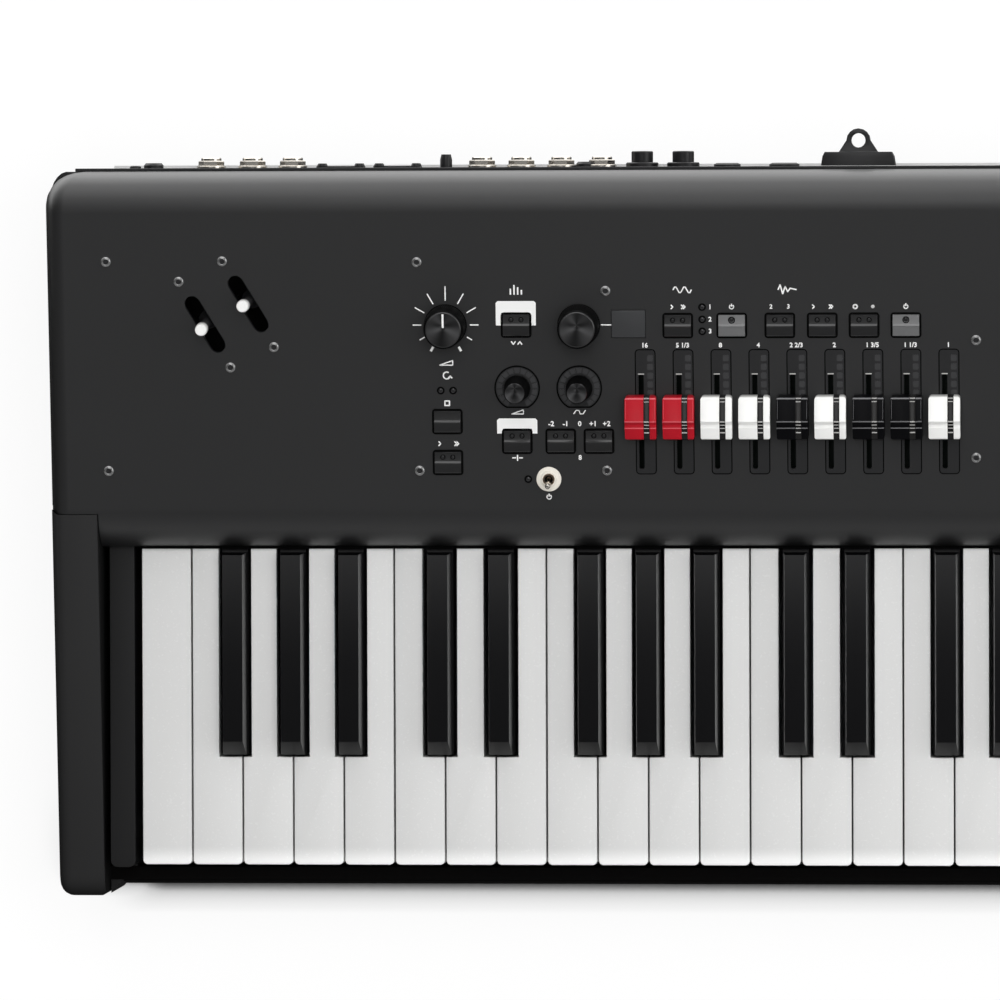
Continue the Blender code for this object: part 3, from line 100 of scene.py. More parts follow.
# Large knobs, and whether they have a pointer
LARGE_KNOBS = (("master_volume_knob", True), ("organ_voice_encoder", False), ("menu_encoder", False),
               ("keys_voice_encoder", False))
RING_KNOBS = ("organ_volume_knob", "organ_drive_knob", "keys_volume_knob")
TOGGLES = ("organ_toggle", "keys_toggle")
# Colours of the knobs' metal tops
LARGE_KNOB_METAL, SMALL_KNOB_METAL = (0.088, 0.088, 0.090), (0.075, 0.075, 0.077)
# The ring round a small knob: lamp windows, degrees they span, and (radius, front cut) of the plate and its rim
RING_WINDOWS, RING_SPAN = 15, 288
RING_PLATE, RING_RIM = (0.0098, -0.0085), (0.0105, -0.0092)
# The buttons of each set; the pale ones, by their place along the panel; the one without lamps; the small lamps
ROTARY_BUTTONS = ((0.1825, 0.0401), (0.1825, 0.0211))
MANUAL_BUTTONS = ((0.2147, 0.0848), (0.2145, 0.0309))
OCTAVE_BUTTONS = ((0.2345, 0.0309), (0.2521, 0.0309))
VIBRATO_BUTTONS = tuple((s, 0.0844) for s in (0.2888, 0.3135, 0.3355, 0.3549, 0.3740, 0.3931))
LIVE_BUTTONS = tuple((0.4700 + 0.0190 * step, 0.0211) for step in range(8))
PALE_BUTTONS = (0.3135, 0.3931)
LAMPLESS_BUTTONS = ((0.1825, 0.0401),)
LAMPS_AT = ((0.1796, 0.0545), (0.1853, 0.0545), (0.3000, 0.0929), (0.3000, 0.0872), (0.3000, 0.0817),
            (0.2193, 0.0133), (0.6610, 0.0133))
# Drawbars: place of the first, pitch, ends of the windows and slots up the slope, and where the caps stand at rest
DRAWBAR_FIRST = 0.2717
DRAWBAR_PITCH = 0.01736
DRAWBAR_WINDOW_T = (0.0159, 0.0730)
DRAWBAR_SLOT_T = (0.0180, 0.0618)
DRAWBAR_REST_T = 0.0425
# Figures over the drawbars, and finishes of their caps
FOOTAGES = ("16", "5 1/3", "8", "4", "2 2/3", "2", "1 3/5", "1 1/3", "1")
CAP_FINISHES = ("red_cap", "red_cap", "white_cap", "white_cap", "black_cap", "white_cap", "black_cap",
                "black_cap", "white_cap")
# Height of the rear sockets, and depth and height of the light strip behind the rear sheet, whose light grey is a
# painted reflection of the white backdrop
SOCKET_Z = 0.0700
REAR_REFLECTION_DEPTH, REAR_REFLECTION_Z = 0.0017, 0.0450
# The felt strip behind the keys
FELT_Y, FELT_Z = (-0.0156, -0.0146), (0.0945, 0.0965)
# Round heads on the rear: (place, radius, height)
REAR_HEADS = ((0.0332, 0.0026, 0.0014), (0.0417, 0.0046, 0.0026), (0.1204, 0.0024, 0.0022), (0.1377, 0.0024, 0.0022),
              (0.1468, 0.0024, 0.0022), (0.1641, 0.0024, 0.0022), (0.1780, 0.0028, 0.0062), (0.2430, 0.0046, 0.0026),
              (0.3085, 0.0062, 0.0018), (0.3349, 0.0070, 0.0018))
# Places of the plated jacks, the black jacks and the round sockets along the rear
PHONE_JACKS_S = (0.0686, 0.0879, 0.1066, 0.1947, 0.2130, 0.2316, 0.2504)
LINE_JACKS_S = (0.2691, 0.2881)
ROUND_SOCKETS_S = (0.1290, 0.1555)
# Printed ticks round the volume knob, in degrees from its top: outer ends, and (inner end, width) of the inner
# ticks and of the last one on each side
TICK_REACH = {0: 0.0178, 30: 0.0166, 60: 0.0161, 90: 0.0150, 120: 0.0138, 150: 0.0138}
TICK_PLAIN, TICK_LAST = (0.0113, 0.00055), (0.0119, 0.0011)
# Printed line from the voice encoder to its display
VOICE_LINE = ((0.2538, 0.0848), (0.2583, 0.0848))
# Printed plates round two buttons: left, right, bottom, top, and top of the opening for the button
PRINTED_PLATES = ((0.2054, 0.2238, 0.0846, 0.0959, 0.0904), (0.2053, 0.2238, 0.0345, 0.0415, 0.0367))
PLATE_OPENING, PLATE_CORNER = (0.2079, 0.2213), 0.0009
# Printed signs: (sign, place, size, weight of its lines)
PRINTED_SIGNS = (
    ("bars", (0.2148, 0.1011), 0.0042, 0.14), ("wedge", (0.1823, 0.0672), 0.0030, 0.14),
    ("turn", (0.1825, 0.0615), 0.0036, 0.14), ("square", (0.1825, 0.0486), 0.0026, 0.20),
    ("one_step", (0.1788, 0.0298), 0.0024, 0.20), ("two_steps", (0.1866, 0.0298), 0.0024, 0.20),
    ("down_up", (0.2148, 0.0765), 0.0027, 0.18), ("wedge", (0.2148, 0.0444), 0.0027, 0.14),
    ("clipped", (0.2433, 0.0444), 0.0027, 0.14), ("part", (0.2145, 0.0232), 0.0026, 0.18),
    ("power", (0.2288, 0.0050), 0.0025, 0.18), ("wave", (0.2910, 0.1009), 0.0042, 0.11),
    ("burst", (0.3390, 0.1009), 0.0046, 0.11), ("one_step", (0.2862, 0.0930), 0.0022, 0.20),
    ("two_steps", (0.2914, 0.0930), 0.0022, 0.20), ("power", (0.3135, 0.0930), 0.0024, 0.18),
    ("power", (0.3931, 0.0930), 0.0024, 0.18), ("one_step", (0.3509, 0.0930), 0.0022, 0.20),
    ("two_steps", (0.3589, 0.0930), 0.0022, 0.20), ("dot", (0.3700, 0.0930), 0.0030, 0.20),
    ("small_dot", (0.3780, 0.0930), 0.0030, 0.20), ("power", (0.6705, 0.0050), 0.0025, 0.18),
    ("wedge", (0.6990, 0.0444), 0.0027, 0.14),
)
# Printed figures: (figure, place, size)
PRINTED_FIGURES = (
    ("8", (0.2433, 0.0232), 0.0031), ("2", (0.3315, 0.0930), 0.0028), ("3", (0.3395, 0.0930), 0.0028),
    ("1", (0.3036, 0.0929), 0.0030), ("2", (0.3036, 0.0872), 0.0030), ("3", (0.3036, 0.0817), 0.0030),
    ("-2", (0.2302, 0.0389), 0.0033), ("-1", (0.2368, 0.0389), 0.0033), ("0", (0.2433, 0.0389), 0.0033),
    ("+1", (0.2494, 0.0389), 0.0033), ("+2", (0.2556, 0.0389), 0.0033),
    *((footage, (DRAWBAR_FIRST + DRAWBAR_PITCH * index + 0.0018, 0.0752), 0.0030)
      for index, footage in enumerate(FOOTAGES)),
    *((str(step + 1), (s, t + 0.0085), 0.0030) for step, (s, t) in enumerate(LIVE_BUTTONS)),
)


class KeyboardColours(bpy.types.PropertyGroup):
    """Colours of the keyboard's finishes."""

    cover: FloatVectorProperty(name="Cover paint", description="Dark paint of the sheet cover", subtype="COLOR",
                               default=(0.0116, 0.0117, 0.0122))
    moulding: FloatVectorProperty(name="Mouldings", description="Rear panel and other black plastic",
                                  subtype="COLOR", default=(0.0100, 0.0100, 0.0108))
    cheek: FloatVectorProperty(name="Cheeks", description="Matt black of the end cheeks and blocks",
                               subtype="COLOR", default=(0.0208, 0.0208, 0.0211))
    white_key: FloatVectorProperty(name="White keys", description="Natural key tops", subtype="COLOR",
                                   default=(0.68, 0.68, 0.675))
    black_key: FloatVectorProperty(name="Black keys", description="Sharp key tops", subtype="COLOR",
                                   default=(0.0020, 0.0020, 0.0025))
    ink: FloatVectorProperty(name="Panel ink", description="Printed marks", subtype="COLOR",
                             default=(0.86, 0.86, 0.85))
    red_cap: FloatVectorProperty(name="Red caps", description="Red drawbar caps", subtype="COLOR",
                                 default=(0.42, 0.009, 0.019))
    white_cap: FloatVectorProperty(name="White caps", description="White drawbar caps", subtype="COLOR",
                                   default=(0.90, 0.90, 0.88))
    nickel: FloatVectorProperty(name="Nickel", description="Plated socket rings and toggle bats", subtype="COLOR",
                                default=(0.72, 0.68, 0.62))


class KeyboardSizes(bpy.types.PropertyGroup):
    """Sizes of the details that are added to the solids."""

    edge_round: FloatProperty(name="Edge rounding", description="Rounding along the edges of mouldings",
                              subtype="DISTANCE", unit="LENGTH", default=0.0004)
    key_round: FloatProperty(name="Key rounding", description="Rounding along the edges of the keys",
                             subtype="DISTANCE", unit="LENGTH", default=0.0006)
    ink_height: FloatProperty(name="Ink height", description="Height of the printed marks over the paint",
                              subtype="DISTANCE", unit="LENGTH", default=0.00006)
    knob_ribs: IntProperty(name="Knob ribs", description="Grip ribs round a large knob", default=56)


class KeyboardStudio(bpy.types.PropertyGroup):
    """The studio round the keyboard."""

    lamp_power: FloatProperty(name="Lamp power", description="Power of each soft lamp", unit="POWER", default=30.0)
    sky: FloatProperty(name="Sky", description="Strength of the soft light from all round", default=0.17)
    floor: FloatVectorProperty(name="Floor", description="Colour of the floor", subtype="COLOR",
                               default=(0.30, 0.30, 0.30))
    floor_seen: FloatProperty(name="Floor seen", description="Share of the floor's own light the camera sees",
                              default=0.45)
    floor_lift: FloatProperty(name="Floor white", description="White that the camera sees over that light",
                              default=0.885)
    floor_gloss: FloatProperty(name="Floor in gloss", description="White that polished surfaces see behind the case",
                               default=2.6)


def calculate(nodes, links, operation, *values):
    """The result of a maths node for some numbers and sockets."""
    node = nodes.new("ShaderNodeMath")
    node.operation = operation
    for socket, value in zip(node.inputs, values):
        feed(links, value, socket)
    return node.outputs["Value"]


def feed(links, value, socket):
    """Link a socket to another node's socket, or set it to a number."""
    if isinstance(value, bpy.types.NodeSocket):
        links.new(value, socket)
    else:
        socket.default_value = value


def split_axes(nodes, links, vector):
    """The X, Y and Z sockets of a vector socket."""
    node = nodes.new("ShaderNodeSeparateXYZ")
    links.new(vector, node.inputs["Vector"])
    return node.outputs


def map_range(nodes, links, value, start, end, low=0.0, high=1.0, smooth=False):
    """A socket that goes from low to high while the value goes from start to end."""
    node = nodes.new("ShaderNodeMapRange")
    node.interpolation_type = "SMOOTHSTEP" if smooth else "LINEAR"
    for socket, number in (("From Min", start), ("From Max", end), ("To Min", low), ("To Max", high)):
        node.inputs[socket].default_value = number
    links.new(value, node.inputs["Value"])
    return node.outputs["Result"]


# Scale of the broad noise that tints a finish
BROAD_SCALE = 14.0


def shade_chain(material, grain, stretch):
    """Noise over the surface in the object's own metres: (nodes, links, shader, fine noise, broad noise)."""
    material.use_nodes = True
    nodes, links = material.node_tree.nodes, material.node_tree.links
    shader = nodes["Principled BSDF"]
    place = nodes.new("ShaderNodeTexCoord")
    mapping = nodes.new("ShaderNodeMapping")
    mapping.inputs["Scale"].default_value = stretch
    links.new(place.outputs["Object"], mapping.inputs["Vector"])
    fine = nodes.new("ShaderNodeTexNoise")
    fine.inputs["Scale"].default_value = grain
    fine.inputs["Detail"].default_value = 3.0
    broad = nodes.new("ShaderNodeTexNoise")
    broad.inputs["Scale"].default_value = BROAD_SCALE
    broad.inputs["Detail"].default_value = 4.0
    links.new(mapping.outputs["Vector"], fine.inputs["Vector"])
    links.new(place.outputs["Object"], broad.inputs["Vector"])
    return nodes, links, shader, fine, broad


def scale_colour(nodes, links, shader, share):
    """Multiply the finish's colour by the number from a socket."""
    scaled = nodes.new("ShaderNodeVectorMath")
    scaled.operation = "SCALE"
    links.new(shader.inputs["Base Color"].links[0].from_socket, scaled.inputs[0])
    links.new(share, scaled.inputs["Scale"])
    links.new(scaled.outputs["Vector"], shader.inputs["Base Color"])


def paint_turned_shade(nodes, links, shader, axis, level, turned, lowest):
    """Paint shade on the finish as it turns over, by how far its normal points along an axis."""
    geometry = nodes.new("ShaderNodeNewGeometry")
    along = split_axes(nodes, links, geometry.outputs["Normal"])[axis]
    size = calculate(nodes, links, "ABSOLUTE", along)
    scale_colour(nodes, links, shader, map_range(nodes, links, size, turned, level, lowest))


def paint_tip_light(nodes, links, shader, tip_light):
    """Paint light onto a key's colour towards its front end, counted from its pivot."""
    place = nodes.new("ShaderNodeTexCoord")
    forward = split_axes(nodes, links, place.outputs["Object"])["Y"]
    share = map_range(nodes, links, forward, KEY_TIP_LIGHT_FROM, KEY_TIP_LIGHT_FROM - KEY_TIP_LIGHT_LENGTH, 1.0, tip_light, smooth=True)
    scale_colour(nodes, links, shader, share)


# How far the roughness of a finish varies to each side
GLOSS_SPREAD = 0.05


def make_finish(name, colour, roughness, metallic=0.0, specular=0.5, coat=0.0, grain=2500.0, bump=0.06,
                relief=0.00004, tint=0.06, stretch=(1.0, 1.0, 1.0), tip_light=None, sides=None):
    """A moulded, painted or plated finish: its tint, gloss and relief all vary a little."""
    material = bpy.data.materials.new(name)
    nodes, links, shader, fine, broad = shade_chain(material, grain, stretch)
    mixed = nodes.new("ShaderNodeMix")
    mixed.data_type = "RGBA"
    mixed.inputs["A"].default_value = (*(channel * (1 - tint) for channel in colour), 1.0)
    mixed.inputs["B"].default_value = (*(min(1.0, channel * (1 + tint)) for channel in colour), 1.0)
    links.new(broad.outputs["Fac"], mixed.inputs["Factor"])
    links.new(mixed.outputs["Result"], shader.inputs["Base Color"])
    # Painted light: the colour grows lighter towards a key's front end
    if tip_light:
        paint_tip_light(nodes, links, shader, tip_light)
    # Painted shade: the colour darkens where the surface turns over
    if sides:
        paint_turned_shade(nodes, links, shader, *sides)
    rough = map_range(nodes, links, fine.outputs["Fac"], 0.0, 1.0, max(0.02, roughness - GLOSS_SPREAD),
                      min(1.0, roughness + GLOSS_SPREAD))
    links.new(rough, shader.inputs["Roughness"])
    relief_node = nodes.new("ShaderNodeBump")
    relief_node.inputs["Strength"].default_value = bump
    relief_node.inputs["Distance"].default_value = relief
    links.new(fine.outputs["Fac"], relief_node.inputs["Height"])
    links.new(relief_node.outputs["Normal"], shader.inputs["Normal"])
    shader.inputs["Metallic"].default_value = metallic
    shader.inputs["Specular IOR Level"].default_value = specular
    shader.inputs["Coat Weight"].default_value = coat
    shader.inputs["Coat Roughness"].default_value = 0.08
    return material


FINISHES = {}
# Painted light fans on the spun knob tops, lighter and darker sectors of colour that stand in for highlights: how
# many, how far they are turned, and their darkest and lightest share
PAINTED_FAN_BLADES, PAINTED_FAN_TURN, PAINTED_FAN_SHARES = 4, 45.0, (0.75, 1.75)


def spun_metal_painted_fans(name, centre, colour, roughness=0.42):
    """Metal turned about the panel's upright through a centre: its gloss fans out across the grooves, and its colour
    is painted lighter and darker in fans round the centre as painted highlights.
    """
    material = make_finish(name, colour, roughness, metallic=1.0, grain=2600.0, bump=0.03)
    nodes, links = material.node_tree.nodes, material.node_tree.links
    shader = nodes["Principled BSDF"]
    place = nodes.new("ShaderNodeTexCoord")
    arm = nodes.new("ShaderNodeVectorMath")
    arm.operation = "SUBTRACT"
    arm.inputs[1].default_value = centre
    links.new(place.outputs["Object"], arm.inputs[0])
    groove = nodes.new("ShaderNodeVectorMath")
    groove.operation = "CROSS_PRODUCT"
    groove.inputs[0].default_value = UP
    links.new(arm.outputs["Vector"], groove.inputs[1])
    turned = nodes.new("ShaderNodeVectorTransform")
    turned.vector_type = "VECTOR"
    turned.convert_from = "OBJECT"
    turned.convert_to = "WORLD"
    links.new(groove.outputs["Vector"], turned.inputs["Vector"])
    links.new(turned.outputs["Vector"], shader.inputs["Tangent"])
    shader.inputs["Anisotropic"].default_value = 0.85
    # Painted highlights: the colour is scaled up and down in fans by the angle round the knob's centre
    flat = nodes.new("ShaderNodeMapping")
    flat.inputs["Rotation"].default_value = (0.0, 0.0, math.radians(PAINTED_FAN_TURN))
    links.new(arm.outputs["Vector"], flat.inputs["Vector"])
    around = nodes.new("ShaderNodeTexGradient")
    around.gradient_type = "RADIAL"
    links.new(flat.outputs["Vector"], around.inputs["Vector"])
    wave = calculate(nodes, links, "MULTIPLY", around.outputs["Fac"], 2 * math.pi * PAINTED_FAN_BLADES)
    cosine = calculate(nodes, links, "COSINE", wave)
    scale_colour(nodes, links, shader, map_range(nodes, links, cosine, -1.0, 1.0, *PAINTED_FAN_SHARES))
    FINISHES[name] = material
    return name


def finish_book(colours):
    """Make every finish of the keyboard, once."""
    if FINISHES:
        return
    book = {
        # The cover and the cheeks are painted darker where their surface turns over: painted shade
        "cover": dict(colour=colours.cover, roughness=0.42, specular=0.80, grain=3200.0, bump=0.28,
                      relief=0.00006, tint=0.05, sides=("X", 0.10, 0.80, 0.10)),
        "cheek": dict(colour=colours.cheek, roughness=0.55, specular=0.12, grain=2600.0, bump=0.30,
                      relief=0.00006, sides=("Z", 0.96, 0.15, 0.35)),
        "black_plastic": dict(colour=colours.moulding, roughness=0.34, specular=0.40, grain=2200.0, bump=0.10),
        "block": dict(colour=(0.0125, 0.0125, 0.0128), roughness=0.42, specular=0.15, grain=2200.0, bump=0.10),
        # The slip is a darker black than the blocks beside it: partly its own black plastic, partly painted shade
        # under the key fronts
        "slip_painted_shade": dict(colour=(0.0020, 0.0018, 0.0018), roughness=0.60, specular=0.06, grain=2200.0, bump=0.05),
        "button": dict(colour=(0.0075, 0.0075, 0.0080), roughness=0.30, specular=0.85, grain=2200.0, bump=0.06),
        "screw": dict(colour=(0.32, 0.32, 0.32), roughness=0.26, metallic=0.85, bump=0.03),
        "screw_pit": dict(colour=(0.012, 0.012, 0.013), roughness=0.50, bump=0.02),
        # Light grey of the strip on the black rear panel: a painted reflection of the white backdrop
        "painted_rear_reflection": dict(colour=(0.82, 0.82, 0.82), roughness=0.40, bump=0.03),
        "felt": dict(colour=(0.0015, 0.0015, 0.0015), roughness=0.95, specular=0.05, grain=4000.0, bump=0.4),
        "smooth_face": dict(colour=(0.0140, 0.0142, 0.0150), roughness=0.36, specular=0.45, tint=0.03, bump=0.03),
        "dim_lamp": dict(colour=(0.0360, 0.0362, 0.0380), roughness=0.30, specular=0.40, tint=0.03, bump=0.02),
        # The white keys' front ends are painted lighter: painted light
        "white_key": dict(colour=colours.white_key, roughness=0.26, specular=0.50, coat=0.15, tint=0.015,
                          grain=900.0, bump=0.04, relief=0.00003, tip_light=1.40),
        "black_key": dict(colour=colours.black_key, roughness=0.30, specular=0.34, grain=1400.0, bump=0.08,
                          relief=0.00003),
        "steel": dict(colour=(0.45, 0.45, 0.46), roughness=0.38, metallic=1.0, stretch=(0.05, 1.0, 1.0)),
        "nickel": dict(colour=colours.nickel, roughness=0.20, metallic=1.0, bump=0.02),
        "bronze": dict(colour=(0.42, 0.33, 0.26), roughness=0.25, metallic=1.0, bump=0.03),
        "rubber": dict(colour=(0.014, 0.014, 0.014), roughness=0.85, specular=0.25, bump=0.30, grain=1500.0),
        "board": dict(colour=(0.0030, 0.0050, 0.0040), roughness=0.45, specular=0.2, bump=0.10),
        "knob": dict(colour=(0.0012, 0.0012, 0.0013), roughness=0.45, specular=0.08, grain=2600.0, bump=0.12),
        "lever_stick": dict(colour=(0.030, 0.030, 0.031), roughness=0.30, bump=0.04),
        "lever": dict(colour=colours.white_cap, roughness=0.30, coat=0.2, tint=0.015, bump=0.03),
        "ink": dict(colour=colours.ink, roughness=0.55, tint=0.01, bump=0.05),
        "red_cap": dict(colour=colours.red_cap, roughness=0.36, specular=0.12, tint=0.03, bump=0.02),
        "white_cap": dict(colour=colours.white_cap, roughness=0.20, coat=0.3, tint=0.01, bump=0.02),
        "black_cap": dict(colour=(0.0020, 0.0020, 0.0026), roughness=0.40, specular=0.08, tint=0.04, bump=0.02),
        # Lighter colours for the lit edges and rails of red and black caps: painted highlights
        "red_cap_edge": dict(colour=(0.66, 0.085, 0.11), roughness=0.30, tint=0.03, bump=0.02),
        "black_cap_edge": dict(colour=(0.13, 0.13, 0.135), roughness=0.30, tint=0.03, bump=0.02),
        "smoked": dict(colour=(0.010, 0.0095, 0.0095), roughness=0.22, specular=0.30, tint=0.05, bump=0.01),
        "cap_mark": dict(colour=(0.42, 0.41, 0.40), roughness=0.30, tint=0.03, bump=0.02),
        "window": dict(colour=(0.042, 0.043, 0.045), roughness=0.14, specular=0.35, tint=0.03, bump=0.02),
        "gloss_black": dict(colour=(0.0050, 0.0050, 0.0055), roughness=0.14, specular=0.45, bump=0.02),
        "pit": dict(colour=(0.0020, 0.0020, 0.0020), roughness=0.90, specular=0.05, bump=0.02),
        "lens": dict(colour=(0.014, 0.014, 0.015), roughness=0.12, specular=0.80, bump=0.01),
        "pale_button": dict(colour=(0.125, 0.126, 0.128), roughness=0.34, specular=0.85, bump=0.06),
        "cream": dict(colour=(0.80, 0.76, 0.68), roughness=0.42, tint=0.02, bump=0.04),
    }
    for name, settings in book.items():
        FINISHES[name] = make_finish(name, **settings)


def modifier_group(name):
    """A new modifier group: (group, nodes, links, socket of the geometry that comes in, socket for what leaves)."""
    group = bpy.data.node_groups.new(name, "GeometryNodeTree")
    for way in ("INPUT", "OUTPUT"):
        group.interface.new_socket("Geometry", in_out=way, socket_type="NodeSocketGeometry")
    entry, leave = group.nodes.new("NodeGroupInput"), group.nodes.new("NodeGroupOutput")
    return group, group.nodes, group.links, entry.outputs[0], leave.inputs[0]


def smooth_by_angle(angle_deg):
    """A modifier group that shades smooth, but keeps edges sharper than the angle."""
    name = "shade_smooth_%d" % angle_deg
    group = bpy.data.node_groups.get(name)
    if group:
        return group
    group, nodes, links, entry, leave = modifier_group(name)
    faces = nodes.new("GeometryNodeSetShadeSmooth")
    faces.domain = "FACE"
    faces.inputs["Shade Smooth"].default_value = True
    edges = nodes.new("GeometryNodeSetShadeSmooth")
    edges.domain = "EDGE"
    edges.inputs["Shade Smooth"].default_value = False
    angle = nodes.new("GeometryNodeInputMeshEdgeAngle")
    above = nodes.new("FunctionNodeCompare")
    above.operation = "GREATER_THAN"
    above.inputs["B"].default_value = math.radians(angle_deg)
    links.new(angle.outputs["Unsigned Angle"], above.inputs["A"])
    links.new(above.outputs["Result"], edges.inputs["Selection"])
    links.new(entry, faces.inputs["Geometry"])
    links.new(faces.outputs["Geometry"], edges.inputs["Geometry"])
    links.new(edges.outputs["Geometry"], leave)
    return group


def soften(thing, edge_round=0.0, angle_deg=30, segments=2):
    """Round a piece's sharp edges and shade its curves smooth."""
    weld = thing.modifiers.new("weld", "WELD")
    weld.merge_threshold = 0.00001
    if edge_round > 0:
        bevel = thing.modifiers.new("edge_round", "BEVEL")
        bevel.width = edge_round
        bevel.segments = segments
        bevel.limit_method = "ANGLE"
        bevel.angle_limit = math.radians(angle_deg)
        bevel.use_clamp_overlap = True
        bevel.harden_normals = False
    smooth = thing.modifiers.new("smooth", "NODES")
    smooth.node_group = smooth_by_angle(angle_deg)


def dress(node, finish, edge_round=0.0, angle_deg=30, segments=2, flat=False):
    """Give a CAD node its finish and softened edges, and keep the shading of its large faces flat if asked."""
    thing = frame["nodes"][node]
    for slot in thing.material_slots:
        slot.material = FINISHES[finish]
    soften(thing, edge_round, angle_deg, segments)
    if flat:
        weighted = thing.modifiers.new("weighted", "WEIGHTED_NORMAL")
        weighted.mode = "FACE_AREA"
        weighted.weight = 100
        weighted.keep_sharp = True


def repaint(thing, axis, low, high, finish):
    """Give the faces whose middle lies between two places along a world axis another finish."""
    group, nodes, links, entry, leave = modifier_group("repaint")
    place = nodes.new("GeometryNodeInputPosition")
    along = split_axes(nodes, links, place.outputs["Position"])[axis]
    middle = (low + high) / 2 - thing.matrix_world.translation["XYZ".index(axis)]
    inside = calculate(nodes, links, "COMPARE", along, middle, (high - low) / 2)
    paint = nodes.new("GeometryNodeSetMaterial")
    paint.inputs["Material"].default_value = FINISHES[finish]
    links.new(entry, paint.inputs["Geometry"])
    links.new(inside, paint.inputs["Selection"])
    links.new(paint.outputs["Geometry"], leave)
    thing.modifiers.new("repaint", "NODES").node_group = group


# What counts as the panel's own face: distance from its plane, and how far its normal points along the upright
PANEL_REACH, PANEL_FACING = 0.00005, 0.8


def panel_normals(thing):
    """Shade the corners that lie in the panel's plane exactly square to it, so that openings leave no streaks."""
    group, nodes, links, entry, leave = modifier_group("panel_normals")
    origin = thing.matrix_world.inverted() @ ORIGIN
    normal = nodes.new("GeometryNodeInputNormal")
    place = nodes.new("GeometryNodeInputPosition")

    def dot(socket):
        node = nodes.new("ShaderNodeVectorMath")
        node.operation = "DOT_PRODUCT"
        links.new(socket, node.inputs[0])
        node.inputs[1].default_value = UP
        return node.outputs["Value"]

    def compare(socket, operation, value, margin=0.0):
        node = nodes.new("FunctionNodeCompare")
        node.operation = operation
        links.new(socket, node.inputs["A"])
        node.inputs["B"].default_value = value
        if operation == "EQUAL":
            node.inputs["Epsilon"].default_value = margin
        return node.outputs["Result"]

    both = nodes.new("FunctionNodeBooleanMath")
    both.operation = "AND"
    links.new(compare(dot(place.outputs["Position"]), "EQUAL", origin.dot(UP), PANEL_REACH),
              both.inputs[0])
    links.new(compare(dot(normal.outputs["True Normal"]), "GREATER_THAN", PANEL_FACING), both.inputs[1])
    chosen = nodes.new("GeometryNodeSwitch")
    chosen.input_type = "VECTOR"
    links.new(both.outputs["Boolean"], chosen.inputs["Switch"])
    links.new(normal.outputs["Normal"], chosen.inputs["False"])
    chosen.inputs["True"].default_value = UP
    shaded = nodes.new("GeometryNodeSetMeshNormal")
    shaded.mode = "FREE"
    shaded.domain = "CORNER"
    links.new(entry, shaded.inputs["Mesh"])
    links.new(chosen.outputs["Output"], shaded.inputs["Custom Normal"])
    links.new(shaded.outputs["Mesh"], leave)
    thing.modifiers.new("panel_normals", "NODES").node_group = group


def add_piece(name, shape, finishes, body="case", replaces=(), edge_round=0.0, angle_deg=30):
    """Turn a finished bmesh into a piece that rides on a body."""
    bmesh.ops.recalc_face_normals(shape, faces=shape.faces)
    mesh = bpy.data.meshes.new(name)
    shape.to_mesh(mesh)
    shape.free()
    for finish in finishes:
        mesh.materials.append(FINISHES[finish])
    thing = bpy.data.objects.new(name, mesh)
    bpy.context.scene.collection.objects.link(thing)
    soften(thing, edge_round, angle_deg)
    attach(thing, body)
    if replaces:
        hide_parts(*replaces)


def on_panel(at, height=0.0, turn=0.0):
    """The frame of a place on the panel, its Z square to the paint."""
    return PANEL @ Matrix.Translation((at[0], at[1], height)) @ Matrix.Rotation(math.radians(turn), 4, "Z")


def joint_place(joint):
    """The frame at a panel joint's place."""
    return Matrix.Translation(Vector(JOINTS[joint]["pos_m"])) @ PANEL.to_3x3().to_4x4()


def at_rear(s):
    """A frame on the rear panel at the height of the sockets, its Z pointing out of the back."""
    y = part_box("rear_panel")[1][1]
    return Matrix.Translation((ORIGIN.x + s, y, SOCKET_Z)) @ Matrix.Rotation(math.radians(-90), 4, "X")


def ring(shape, radius, height, sides, matrix, wobble=0.0):
    """A ring of corners round local Z, or one corner if it has no radius; every second one may be set back."""
    if radius <= 0:
        return [shape.verts.new(matrix @ Vector((0, 0, height)))]
    points = []
    for step in range(sides):
        reach = radius - (wobble if step % 2 else 0.0)
        angle = 2 * math.pi * step / sides
        points.append(shape.verts.new(matrix @ Vector((reach * math.cos(angle), reach * math.sin(angle), height))))
    return points


def lathe(shape, profile, matrix, sides=32, finish=0, wobble=0.0):
    """Turn a profile of (radius, height) points about local Z; a point may carry its own grip ribs."""
    rings = [ring(shape, point[0], point[1], sides, matrix, wobble if len(point) > 2 else 0.0)
             for point in profile]
    for low, high in zip(rings, rings[1:]):
        for step in range(sides):
            after = (step + 1) % sides
            corners = [low[step % len(low)], low[after % len(low)], high[after % len(high)], high[step % len(high)]]
            unique = list(dict.fromkeys(corners))
            if len(unique) > 2:
                shape.faces.new(unique).material_index = finish
    for end in (rings[0], rings[-1]):
        if len(end) > 2:
            shape.faces.new(end).material_index = finish


def tube(shape, profile, matrix, sides=32, finish=0):
    """Turn a closed profile about local Z, such as a ring with a hole."""
    rings = [ring(shape, radius, height, sides, matrix) for radius, height in profile]
    for low, high in zip(rings, rings[1:] + rings[:1]):
        for step in range(sides):
            after = (step + 1) % sides
            shape.faces.new((low[step], low[after], high[after], high[step])).material_index = finish


def prism(shape, outline, low, high, matrix, finish=0):
    """An outline of (x, y) points, between two heights."""
    bottom = [shape.verts.new(matrix @ Vector((x, y, low))) for x, y in outline]
    top = [shape.verts.new(matrix @ Vector((x, y, high))) for x, y in outline]
    shape.faces.new(bottom).material_index = finish
    shape.faces.new(top).material_index = finish
    for step in range(len(outline)):
        after = (step + 1) % len(outline)
        shape.faces.new((bottom[step], bottom[after], top[after], top[step])).material_index = finish


